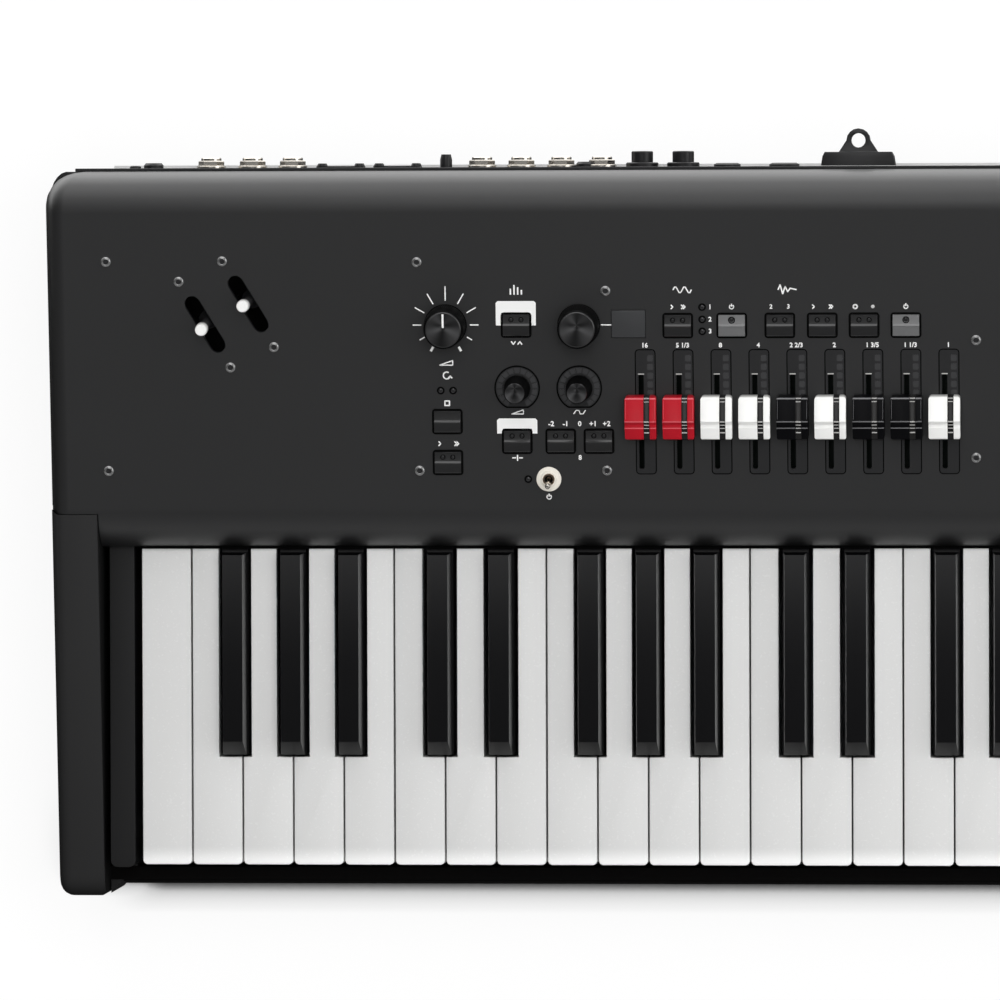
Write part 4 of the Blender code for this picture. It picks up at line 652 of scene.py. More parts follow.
def side_prism(shape, outline, low, high, matrix, finish=0):
    """An outline of (y, z) points, between two places across."""
    turned = matrix @ Matrix(((0, 0, 1, 0), (1, 0, 0, 0), (0, 1, 0, 0), (0, 0, 0, 1)))
    prism(shape, outline, low, high, turned, finish)


def oblong(left, right, low, high):
    """The outline of a rectangle."""
    return [(left, low), (right, low), (right, high), (left, high)]


def arc(centre, radius, start, end, steps):
    """Points along an arc, between two directions in degrees."""
    return [(centre[0] + radius * math.cos(math.radians(start + (end - start) * step / steps)),
             centre[1] + radius * math.sin(math.radians(start + (end - start) * step / steps)))
            for step in range(steps + 1)]


def circle(radius, steps, centre=(0, 0)):
    """The outline of a circle."""
    return arc(centre, radius, 0, 360, steps)[:-1]


def rounded(width, length, radius, steps=3):
    """The outline of a rectangle with round corners."""
    x, y = width / 2 - radius, length / 2 - radius
    return (arc((x, y), radius, 0, 90, steps) + arc((-x, y), radius, 90, 180, steps)
            + arc((-x, -y), radius, 180, 270, steps) + arc((x, -y), radius, 270, 360, steps))


def slot_shape(width, apart, steps=8):
    """The outline of a slot with round ends whose middles lie some way apart."""
    return arc((0, apart / 2), width / 2, 0, 180, steps) + arc((0, -apart / 2), width / 2, 180, 360, steps)


def add_curve(shape, curve, low, high, matrix, finish):
    """Add a flat curve to a shape, as a plate between two heights, and clear the curve away."""
    curve.extrude = (high - low) / 2
    holder = bpy.data.objects.new(curve.name, curve)
    bpy.context.scene.collection.objects.link(holder)
    graph = bpy.context.evaluated_depsgraph_get()
    mesh = bpy.data.meshes.new_from_object(holder.evaluated_get(graph))
    mesh.transform(matrix @ Matrix.Translation((0, 0, (low + high) / 2)))
    before = len(shape.faces)
    shape.from_mesh(mesh)
    shape.faces.ensure_lookup_table()
    for face in shape.faces[before:]:
        face.material_index = finish
    bpy.data.objects.remove(holder, do_unlink=True)
    bpy.data.curves.remove(curve)
    bpy.data.meshes.remove(mesh)


def flat_shape(shape, outlines, low, high, matrix, finish=0):
    """Outlines of (x, y) points, the inner ones holes, as one thin plate."""
    curve = bpy.data.curves.new("outline", "CURVE")
    curve.dimensions = "2D"
    curve.fill_mode = "BOTH"
    for outline in outlines:
        spline = curve.splines.new("POLY")
        spline.points.add(len(outline) - 1)
        for point, (x, y) in zip(spline.points, outline):
            point.co = (x, y, 0.0, 1.0)
        spline.use_cyclic_u = True
    add_curve(shape, curve, low, high, matrix, finish)


# How far a printed line runs past its ends, in widths, and how much bolder figures and signs are drawn
LINE_END, FIGURE_WEIGHT, SIGN_WEIGHT = 0.2, 0.028, 1.2


def stroke(shape, points, width, low, high, matrix, finish=0):
    """A printed line of even width through some points."""
    for (ax, ay), (bx, by) in zip(points, points[1:]):
        length = math.hypot(bx - ax, by - ay)
        turn = Matrix.Translation(((ax + bx) / 2, (ay + by) / 2, 0)) @ Matrix.Rotation(
            math.atan2(by - ay, bx - ax), 4, "Z")
        half, side = length / 2 + width * LINE_END, width / 2
        prism(shape, oblong(-half, half, -side, side), low, high, matrix @ turn, finish)


def letters(shape, text, size, low, high, matrix, finish=0):
    """Plain figures, centred on the matrix."""
    curve = bpy.data.curves.new("figures", "FONT")
    curve.body = text
    curve.size = size
    curve.align_x = "CENTER"
    curve.align_y = "CENTER"
    curve.resolution_u = 2
    curve.offset = size * FIGURE_WEIGHT
    add_curve(shape, curve, low, high, matrix, finish)


# Signs for the panel, drawn in a box one unit high
SIGNS = {
    "wedge": [[(-1.0, -0.3), (1.0, -0.3), (1.0, 0.4), (-1.0, -0.3)]],
    "square": [[(-0.4, -0.4), (0.4, -0.4), (0.4, 0.4), (-0.4, 0.4), (-0.4, -0.4)]],
    "turn": [arc((0, 0), 0.45, 60, 350, 10), [(0.20, -0.28), (0.44, -0.08), (0.66, -0.34)]],
    "one_step": [[(-0.2, -0.4), (0.2, 0.0), (-0.2, 0.4)]],
    "two_steps": [[(-0.4, -0.4), (0.0, 0.0), (-0.4, 0.4)], [(0.0, -0.4), (0.4, 0.0), (0.0, 0.4)]],
    "wave": [[(-1.0 + step / 6, 0.35 * math.sin(math.pi * step / 3)) for step in range(13)]],
    "clipped": [[(-1.0, -0.3), (-0.6, 0.3), (-0.1, 0.3), (0.1, -0.3), (0.6, -0.3), (1.0, 0.3)]],
    "burst": [[(-0.9, 0.0), (-0.7, 0.5), (-0.45, -0.42), (-0.2, 0.32), (0.05, -0.22), (0.3, 0.14), (0.9, 0.0)]],
    "bars": [[(-0.6, -0.5), (-0.6, 0.1)], [(-0.2, -0.5), (-0.2, 0.5)], [(0.2, -0.5), (0.2, 0.25)],
             [(0.6, -0.5), (0.6, -0.05)]],
    "down_up": [[(-0.9, 0.25), (-0.55, -0.25), (-0.2, 0.25)], [(0.2, -0.25), (0.55, 0.25), (0.9, -0.25)]],
    "part": [[(0.0, -0.5), (0.0, 0.5)], [(-0.9, 0.0), (-0.3, 0.0)], [(0.3, 0.0), (0.9, 0.0)]],
    "power": [arc((0, 0), 0.40, 130, 410, 10), [(0.0, 0.1), (0.0, 0.55)]],
    "dot": [arc((0, 0), 0.30, 0, 360, 10)],
    "small_dot": [arc((0, 0), 0.15, 0, 360, 8)],
}


def sign(shape, name, at, size, weight, low, high):
    """One sign centred on a place of the panel."""
    for line in SIGNS[name]:
        stroke(shape, [(x * size, y * size) for x, y in line], weight * size * SIGN_WEIGHT, low, high, on_panel(at))


# How far the slip's darker black, partly painted shade under the key fronts, runs past the keys on each side, and the
# depth of the plate round the mains inlet
SLIP_SHADE_MARGIN, INLET_PLATE = 0.002, 0.0019


class KEYBOARD_OT_case(bpy.types.Operator):
    """Finish the cover, cheeks, rear panel, surround, frame and feet"""

    bl_idname = "keyboard.case"
    bl_label = "Case"

    def execute(self, context):
        finish_book(context.scene.keyboard_colours)
        edge = context.scene.keyboard_sizes.edge_round
        dress("top_panel", "cover", 0.0, 40)
        panel_normals(frame["nodes"]["top_panel"])
        for node in ("left_cheek", "right_cheek"):
            dress(node, "cheek", edge, 40)
        dress("bottom_case", "cheek", edge, flat=True)
        dress("rear_panel", "black_plastic", edge * 0.5, flat=True)
        dress("key_surround", "block", edge * 2.0, 30, 3)
        keys = [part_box(node) for node in frame["nodes"] if node.startswith("keys_octave")]
        left, right = min(low[0] for low, _ in keys), max(high[0] for _, high in keys)
        # The slip between the blocks gets the darker black: partly painted shade under the key fronts
        repaint(frame["nodes"]["key_surround"], "X", left - SLIP_SHADE_MARGIN, right + SLIP_SHADE_MARGIN, "slip_painted_shade")
        dress("cord_anchor", "black_plastic", edge)
        dress("keybed_frame", "steel", edge * 0.5)
        dress("power_supply", "steel", edge, flat=True)
        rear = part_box("power_supply")[1][1]
        repaint(frame["nodes"]["power_supply"], "Y", rear - INLET_PLATE, rear + INLET_PLATE, "black_plastic")
        felt = bmesh.new()
        prism(felt, oblong(left, right, *FELT_Y), *FELT_Z, Matrix())
        add_piece("key_felt", felt, ("felt",), "case")
        dress("main_board", "board", edge * 0.5)
        for node in ("foot_front_left", "foot_front_right", "foot_rear_left", "foot_rear_right"):
            dress(node, "rubber", edge * 2)
        return {"FINISHED"}


class KEYBOARD_OT_keys(bpy.types.Operator):
    """Finish the white and black keys"""

    bl_idname = "keyboard.keys"
    bl_label = "Keys"

    def execute(self, context):
        finish_book(context.scene.keyboard_colours)
        edge = context.scene.keyboard_sizes.key_round
        for node in frame["nodes"]:
            if node.startswith("keys_octave"):
                black = node.endswith("_black")
                dress(node, "black_key" if black else "white_key", edge * (1.6 if black else 1.0), 30, 3)
        return {"FINISHED"}


def large_knob(name, pointer, ribs):
    """A turned knob: ribbed grip, spun metal top, and a white pointer where it has one."""
    place = joint_place(name + "_turn")
    shape = bmesh.new()
    lathe(shape, [(0.0030, -0.0090), (0.0030, 0.0003)], place, 16)
    lathe(shape, [(0.0094, 0.0003), (0.0098, 0.0007), (0.0098, 0.0016), (0.0095, 0.0020, 1), (0.0091, 0.0144, 1),
                  (0.0087, 0.0150), (0.0083, 0.0152)], place, ribs * 2, 0, 0.00022)
    lathe(shape, [(0.0088, 0.0144), (0.0084, 0.0150), (0.0078, 0.0155)], place, 64, 3)
    lathe(shape, [(0.0078, 0.01548), (0.0077, 0.0156), (0.0, 0.01555)], place, 64, 1)
    if pointer:
        prism(shape, oblong(-0.00045, 0.00045, 0.0010, 0.0073), 0.01545, 0.01570, place, 2)
    top = spun_metal_painted_fans(name + "_top", place.translation, LARGE_KNOB_METAL)
    add_piece(name + "_turned", shape, ("knob", top, "ink", "button"), name, (name,), 0.0, 40)


def ring_knob(name):
    """A small ribbed knob in a ring of lamp windows."""
    place = joint_place(name + "_turn")
    shape = bmesh.new()
    lathe(shape, [(0.0030, -0.0090), (0.0030, 0.0003)], place, 16)
    lathe(shape, [(0.0058, 0.0003), (0.0060, 0.0008), (0.0060, 0.0022), (0.0056, 0.0030, 1), (0.0050, 0.0150, 1),
                  (0.0047, 0.0157)], place, 56, 0, 0.00016)
    lathe(shape, [(0.0047, 0.0156), (0.0044, 0.0160), (0.0042, 0.0159), (0.0, 0.01585)], place, 48, 1)
    top = spun_metal_painted_fans(name + "_top", place.translation, SMALL_KNOB_METAL)
    add_piece(name + "_turned", shape, ("knob", top), name, (name,), 0.0, 40)

    def cut_off(outline, front):
        return [(x, max(y, front)) for x, y in outline]
    lamps = bmesh.new()
    plate, rim = (cut_off(circle(radius, 64), front) for radius, front in (RING_PLATE, RING_RIM))
    flat_shape(lamps, [plate, circle(0.0062, 40)], 0.0, 0.0004, place, 0)
    flat_shape(lamps, [rim, plate], 0.0, 0.0004, place, 2)
    for step in range(RING_WINDOWS):
        middle = 90 + RING_SPAN / 2 - RING_SPAN * step / (RING_WINDOWS - 1)
        window = (arc((0, 0), 0.0093, middle - 8.2, middle + 8.2, 4)
                  + arc((0, 0), 0.0070, middle + 7.6, middle - 7.6, 4))
        prism(lamps, cut_off(window, -0.0082), 0.0003, 0.00046, place, 1)
    add_piece(name + "_lamp_ring", lamps, ("smooth_face", "dim_lamp", "pit"), "case")


class KEYBOARD_OT_knobs(bpy.types.Operator):
    """Make the turned knobs and the lamp rings"""

    bl_idname = "keyboard.knobs"
    bl_label = "Knobs"

    def execute(self, context):
        finish_book(context.scene.keyboard_colours)
        ribs = context.scene.keyboard_sizes.knob_ribs
        for name, pointer in LARGE_KNOBS:
            large_knob(name, pointer, ribs)
        for name in RING_KNOBS:
            ring_knob(name)
        return {"FINISHED"}


class KEYBOARD_OT_levers(bpy.types.Operator):
    """Make the two levers, the rims of their slots and the toggles"""

    bl_idname = "keyboard.levers"
    bl_label = "Levers and toggles"

    def execute(self, context):
        finish_book(context.scene.keyboard_colours)
        for name, rest in LEVER_RESTS.items():
            joint = JOINTS[name + "_tilt"]
            axis = Vector(joint["axis"]).normalized()
            place = Matrix.Translation(Vector(joint["pos_m"])) @ Matrix(
                (axis, UP.cross(axis), UP)).transposed().to_4x4()
            tilt = place @ Matrix.Rotation(math.radians(rest), 4, "X")
            shape = bmesh.new()
            lathe(shape, [(0.0, -0.0045), (0.0032, -0.0032), (0.0045, 0.0), (0.0032, 0.0032), (0.0022, 0.0050),
                          (0.0020, 0.0275), (0.0020, 0.0285)], tilt, 24, 0)
            lathe(shape, [(0.0022, 0.0270), (0.0027, 0.0273), (0.0029, 0.0282), (0.0029, 0.0320), (0.0028, 0.0330),
                          (0.0025, 0.0335), (0.0, 0.0335)], tilt, 32, 1)
            add_piece(name + "_stick", shape, ("lever_stick", "lever"), name, (name,), 0.0, 40)
        rims = bmesh.new()
        for at in LEVER_SLOTS_AT:
            place = on_panel(at, 0.0, LEVER_LEAN)
            inner = slot_shape(LEVER_SLOT[0] - 0.0007, LEVER_SLOT[1])
            outer = slot_shape(LEVER_SLOT[0] - 0.0001, LEVER_SLOT[1])
            flat_shape(rims, [outer, inner], -0.0022, -0.0003, place, 0)
        add_piece("lever_slot_rims", rims, ("black_plastic",), "case")

        for name in TOGGLES:
            place = joint_place(name + "_flip")
            tilt = place @ Matrix.Rotation(math.radians(TOGGLE_REST), 4, "X")
            shape = bmesh.new()
            lathe(shape, [(0.0, -0.0016), (0.0012, -0.0011), (0.0016, 0.0), (0.0012, 0.0011), (0.0009, 0.0014),
                          (0.0010, 0.0050), (0.0013, 0.0092), (0.0012, 0.0100), (0.0007, 0.0105), (0.0, 0.0106)],
                  tilt, 24, 0)
            add_piece(name + "_bat", shape, ("nickel",), name, (name,), 0.0, 40)
            plate = bmesh.new()
            seat = place @ Matrix.Translation((0, 0, 0.0010))
            tube(plate, [(0.0030, 0.0), (0.0057, 0.0), (0.0057, 0.0004), (0.0054, 0.0006), (0.0030, 0.0006)], seat,
                 48, 0)
            tube(plate, [(0.0028, 0.0005), (0.0036, 0.0005), (0.0036, 0.0011), (0.0033, 0.0014), (0.0028, 0.0014)],
                 seat, 32, 0)
            tube(plate, [(0.0019, 0.0), (0.0028, 0.0), (0.0028, 0.0016), (0.0025, 0.0020), (0.0019, 0.0020)], seat,
                 32, 1)
            add_piece(name + "_nut", plate, ("cream", "bronze"), "case", (), 0.0, 40)
        return {"FINISHED"}


# Half the width of a button, its side view as (place, height), and how much larger a lamp is that stands alone
BUTTON_HALF = 0.00605
BUTTON_SIDE = ((-0.0049, -0.0029), (-0.0049, 0.0009), (-0.0045, 0.0011), (-0.0006, 0.0015), (-0.0003, 0.0018),
               (-0.0001, 0.0018), (0.0007, 0.0011), (0.0049, 0.0008), (0.0049, -0.0029))
LONE_LAMP = 1.35


def button_cap(shape, at, finish, lamps):
    """A push button: a raised bar across the middle, and lamp windows in the half behind it."""
    place = on_panel(at)
    side_prism(shape, BUTTON_SIDE, -BUTTON_HALF, BUTTON_HALF, place, finish)
    for x in lamps:
        size = 1.0 if len(lamps) > 1 else LONE_LAMP
        seat = place @ Matrix.Translation((x, 0.0026, 0))
        tube(shape, [(0.0008 * size, 0.0006), (0.0012 * size, 0.0006), (0.0012 * size, 0.00115),
                     (0.0008 * size, 0.00112)], seat, 20, 3)
        lathe(shape, [(0.0008 * size, 0.0008), (0.0007 * size, 0.0011), (0.0, 0.0012)], seat, 20, 2)


class KEYBOARD_OT_buttons(bpy.types.Operator):
    """Make the button caps, the black rings round them that paint the shade in their gaps, and the small lamps"""

    bl_idname = "keyboard.buttons"
    bl_label = "Buttons"

    def execute(self, context):
        finish_book(context.scene.keyboard_colours)
        sets = {"rotary_buttons": ROTARY_BUTTONS, "manual_buttons": MANUAL_BUTTONS, "octave_buttons": OCTAVE_BUTTONS,
                "vibrato_percussion_buttons": VIBRATO_BUTTONS, "live_set_buttons": LIVE_BUTTONS}
        gap_shade = bmesh.new()
        for name, places in sets.items():
            shape = bmesh.new()
            for at in places:
                pale = at[0] in PALE_BUTTONS
                lamps = (0.0,) if pale else (-0.0023, 0.0023)
                if at in LAMPLESS_BUTTONS:
                    lamps = ()
                button_cap(shape, at, 1 if pale else 0, lamps)
                # A black ring round each cap: painted shade in the gap between the cap and the panel
                flat_shape(gap_shade, [rounded(0.0141, 0.0118, 0.0015), rounded(0.0123, 0.0100, 0.0005)], 0.0, 0.0003,
                           on_panel(at), 0)
            add_piece(name + "_caps", shape, ("button", "pale_button", "lens", "pit"), name,
                      (name,), 0.00012, 20)
        add_piece("button_gap_shade", gap_shade, ("pit",), "case")
        lamps = bmesh.new()
        for at in LAMPS_AT:
            tube(lamps, [(0.0011, 0.0), (0.0018, 0.0), (0.0018, 0.00015), (0.0011, 0.0002)], on_panel(at), 24, 0)
            lathe(lamps, [(0.0011, 0.0), (0.0010, 0.0003), (0.0006, 0.0005), (0.0, 0.0006)], on_panel(at), 24, 1)
        add_piece("panel_lamps", lamps, ("pit", "lens"), "case")
        return {"FINISHED"}


# The side view of a drawbar cap as (place, height) from its front to its back: a low front, a step up to a ridge
# and a long slope down
CAP_SIDE = ((-0.0101, 0.0056), (-0.0095, 0.0075), (-0.0045, 0.0090), (-0.0041, 0.0091), (-0.0036, 0.0090),
            (-0.0026, 0.0092), (-0.0014, 0.0102), (-0.0010, 0.0105), (-0.0004, 0.0103), (0.0088, 0.0078),
            (0.0098, 0.0070), (0.0101, 0.0058))
# Stretches of it whose top catches light, painted a lighter colour as a highlight on red and black caps
CAP_HIGHLIGHT_EDGES = ((-0.0045, -0.0040), (-0.0014, -0.0008), (0.0089, 0.0095))
# Height of its underside, and how much lower the strip in its top lies
CAP_UNDER, STRIP_SINK = 0.0012, 0.00012
# How far the outer corners are cut in, at places counted from the middle
CAP_CORNERS = ((0.0101, 0.0015), (0.0099, 0.0008), (0.0095, 0.0003), (0.0089, 0.0))
# Half the width of a cap, the strip let into its top, and the light lines on that: ends across, (place, half width)
CAP_HALF = 0.0072
CAP_STRIP = (0.00144, 0.00420)
CAP_LINES_X = (0.0016, 0.0040)
CAP_LINES = ((0.0092, 0.0003), (0.0078, 0.0002), (-0.0011, 0.0003), (-0.0028, 0.0002), (-0.0043, 0.0002),
             (-0.0064, 0.0003))
# Thin rails along the top edges of the long slope, painted lighter as highlights on red and black caps: ends, and
# height under and over the slope
CAP_HIGHLIGHT_RAIL, CAP_HIGHLIGHT_RAIL_Z = (0.0, 0.0085), (-0.0004, 0.00003)
# Drawbar windows: how far their middle lies to the right of the slot, their width, and that of the dark rim
WINDOW_ASIDE, WINDOW_WIDTH, WINDOW_RIM = 0.0020, 0.0086, 0.0005
WINDOW_LAMPS, WINDOW_LAMP_PITCH = 5, 0.00405


def cap_height(y):
    """The height of a drawbar cap's top at a place along it."""
    for (low, start), (high, end) in zip(CAP_SIDE, CAP_SIDE[1:]):
        if low <= y <= high:
            return start + (end - start) * (y - low) / (high - low)
    return CAP_SIDE[0][1]


def cap_slice(shape, left, right, place, finish, edge, sink=0.0, round_left=False, round_right=False):
    """A slice of a drawbar cap between two places across, its outer corners rounded in plan."""
    corners = [y for y, _ in CAP_CORNERS]
    ridges = {y for edges in CAP_HIGHLIGHT_EDGES for y in edges}
    stations = sorted({y for y, _ in CAP_SIDE} | set(corners) | {-y for y in corners} | ridges)
    rows = []
    for y in stations:
        inset = max([depth - (depth - after) * (at - abs(y)) / (at - nearer)
                     for (at, depth), (nearer, after) in zip(CAP_CORNERS, CAP_CORNERS[1:])
                     if nearer <= abs(y) <= at] or [0.0])
        x0, x1 = left + inset * round_left, right - inset * round_right
        top = cap_height(y) - sink
        rows.append((y, [shape.verts.new(place @ Vector(corner)) for corner in
                         ((x0, y, CAP_UNDER), (x1, y, CAP_UNDER), (x1, y, top), (x0, y, top))]))
    for (low, near), (high, far) in zip(rows, rows[1:]):
        # Stretches that catch light take the edge finish on top: a painted highlight on red and black caps
        lit = any(start <= (low + high) / 2 <= end for start, end in CAP_HIGHLIGHT_EDGES)
        for step in range(4):
            after = (step + 1) % 4
            face = shape.faces.new((near[step], near[after], far[after], far[step]))
            face.material_index = edge if lit and step == 2 else finish
    for _, end in (rows[0], rows[-1]):
        shape.faces.new(end).material_index = finish


def drawbar_cap(name, s, finish):
    """A drawbar's cap on its stem, with a marked strip along the top, and edges and rails painted lighter as
    highlights on red and black caps.
    """
    place = on_panel((s, DRAWBAR_REST_T))
    start, end = CAP_STRIP
    shape = bmesh.new()
    cap_slice(shape, -CAP_HALF, start, place, 0, 4, round_left=True)
    cap_slice(shape, start, end, place, 1, 1, STRIP_SINK)
    cap_slice(shape, end, CAP_HALF, place, 0, 4, round_right=True)
    for y, wide in CAP_LINES:
        level = cap_height(y)
        prism(shape, oblong(*CAP_LINES_X, y - wide, y + wide), level - 0.0004, level - 0.00002, place, 3)
    prism(shape, oblong(-0.0007, 0.0007, -0.0024, 0.0024), -0.0033, 0.0020, place, 2)
    prism(shape, oblong(-0.0025, 0.0025, -0.0050, 0.0050), -0.0043, -0.0023, place, 2)
    front, back = CAP_HIGHLIGHT_RAIL
    under, over = CAP_HIGHLIGHT_RAIL_Z
    highlight_rail = [(front, cap_height(front) + under), (back, cap_height(back) + under), (back, cap_height(back) + over),
            (front, cap_height(front) + over)]
    for x in (-CAP_HALF + 0.0004, CAP_HALF - 0.0006):
        side_prism(shape, highlight_rail, x, x + 0.0002, place, 4)
    # Red and black caps get a lighter finish on their lit edges and rails: painted highlights
    lit = finish if finish == "white_cap" else finish + "_edge"
    add_piece(name + "_cap", shape, (finish, "smoked", "black_plastic", "cap_mark", lit), name, (name,),
              0.00025, 28)


def drawbar_window(shape, s):
    """The smooth window round a drawbar's slot, its dark rim, its lamps and the mark behind the slot."""
    low, high = DRAWBAR_WINDOW_T
    middle = (low + high) / 2
    front, back = DRAWBAR_SLOT_T
    seat = on_panel((s + WINDOW_ASIDE, middle))
    window = rounded(WINDOW_WIDTH, high - low, 0.0013)
    rim = rounded(WINDOW_WIDTH + 2 * WINDOW_RIM, high - low + 2 * WINDOW_RIM, 0.0018)
    slot = [(x - WINDOW_ASIDE, y + (front + back) / 2 - middle) for x, y in rounded(0.0024, back - front, 0.0004, 1)]
    flat_shape(shape, [window, slot], 0.0, 0.00012, seat, 0)
    flat_shape(shape, [rim, window], 0.0, 0.00010, seat, 3)
    for step in range(WINDOW_LAMPS):
        lamp_at = (s + 0.0042, high - 0.0037 - WINDOW_LAMP_PITCH * step)
        prism(shape, rounded(0.0027, 0.0029, 0.0004, 1), 0.00011, 0.00016, on_panel(lamp_at), 1)
    stroke(shape, [(-0.0013, 0), (0.0013, 0)], 0.0005, 0.00011, 0.0003, on_panel((s, back + 0.0002)), 2)


class KEYBOARD_OT_drawbars(bpy.types.Operator):
    """Make the drawbars with their windows"""

    bl_idname = "keyboard.drawbars"
    bl_label = "Drawbars"

    def execute(self, context):
        finish_book(context.scene.keyboard_colours)
        windows = bmesh.new()
        for index, finish in enumerate(CAP_FINISHES):
            s = DRAWBAR_FIRST + DRAWBAR_PITCH * index
            drawbar_cap("drawbar_%d" % (index + 1), s, finish)
            drawbar_window(windows, s)
        add_piece("drawbar_windows", windows, ("smooth_face", "dim_lamp", "cap_mark", "pit"), "case")
        return {"FINISHED"}


class KEYBOARD_OT_displays(bpy.types.Operator):
    """Finish the two display windows"""

    bl_idname = "keyboard.displays"
    bl_label = "Displays"

    def execute(self, context):
        finish_book(context.scene.keyboard_colours)
        dress("voice_display", "window", 0.0002)
        dress("main_display", "gloss_black", 0.0002)
        return {"FINISHED"}


class KEYBOARD_OT_marks(bpy.types.Operator):
    """Print the scales, figures and plain signs on the panel"""

    bl_idname = "keyboard.marks"
    bl_label = "Printed marks"

    def execute(self, context):
        finish_book(context.scene.keyboard_colours)
        low, high = 0.0, context.scene.keyboard_sizes.ink_height
        shape = bmesh.new()
        for angle, reach in TICK_REACH.items():
            start, width = TICK_LAST if angle == max(TICK_REACH) else TICK_PLAIN
            for side in {angle, -angle}:
                way = math.radians(90 + side)
                line = [(math.cos(way) * radius, math.sin(way) * radius) for radius in (start, reach)]
                stroke(shape, line, width, low, high, on_panel(MASTER_VOLUME_AT))
        stroke(shape, VOICE_LINE, 0.0005, low, high, PANEL)
        start, end = PLATE_OPENING
        for left, right, bottom, top, inner in PRINTED_PLATES:
            plate = [(left, bottom), (start, bottom), (start, inner), (end, inner), (end, bottom), (right, bottom),
                     (right, top - PLATE_CORNER), (right - PLATE_CORNER, top), (left + PLATE_CORNER, top),
                     (left, top - PLATE_CORNER)]
            prism(shape, plate, low, high, PANEL)
        for name, at, size, weight in PRINTED_SIGNS:
            sign(shape, name, at, size, weight, low, high)
        for figure, at, size in PRINTED_FIGURES:
            letters(shape, figure, size, low, high, on_panel(at))
        add_piece("panel_print", shape, ("ink",), "case")
        return {"FINISHED"}


class KEYBOARD_OT_screws(bpy.types.Operator):
    """Set the socket-head screws of the panel"""

    bl_idname = "keyboard.screws"
    bl_label = "Screws"

    def execute(self, context):
        finish_book(context.scene.keyboard_colours)
        shape = bmesh.new()
        for number, at in enumerate(SCREWS_AT):
            place = on_panel(at, 0.0, 17.0 * number)
            tube(shape, [(0.0012, 0.0002), (0.0025, 0.0), (0.0025, 0.0004), (0.0023, 0.0008), (0.0018, 0.0011),
                         (0.0014, 0.0012), (0.0012, 0.0010)], place, 24, 0)
            lathe(shape, [(0.00125, 0.0001), (0.00125, 0.0004), (0.0, 0.0004)], place, 6, 1)
        add_piece("panel_screws", shape, ("screw", "screw_pit"), "case", (), 0.0, 35)
        return {"FINISHED"}


# Radius of the bore of a jack and of a round socket, and height and thickness of the plate that carries them
JACK_BORE, ROUND_BORE, SOCKET_PLATE, PLATE_THICK = 0.0034, 0.0060, 0.0460, 0.0030
# The bodies behind the plate: width, and how far out their back, the bottom of the bore and their front lie
BODY_WIDTH, BODY_BACK, BORE_BOTTOM, BODY_FRONT = 0.0150, -0.0251, -0.0190, -0.0029
# The board behind them: half its height, and how far out its back and front lie
BOARD_HALF, BOARD_BACK, BOARD_FRONT = 0.0150, -0.0266, -0.0250


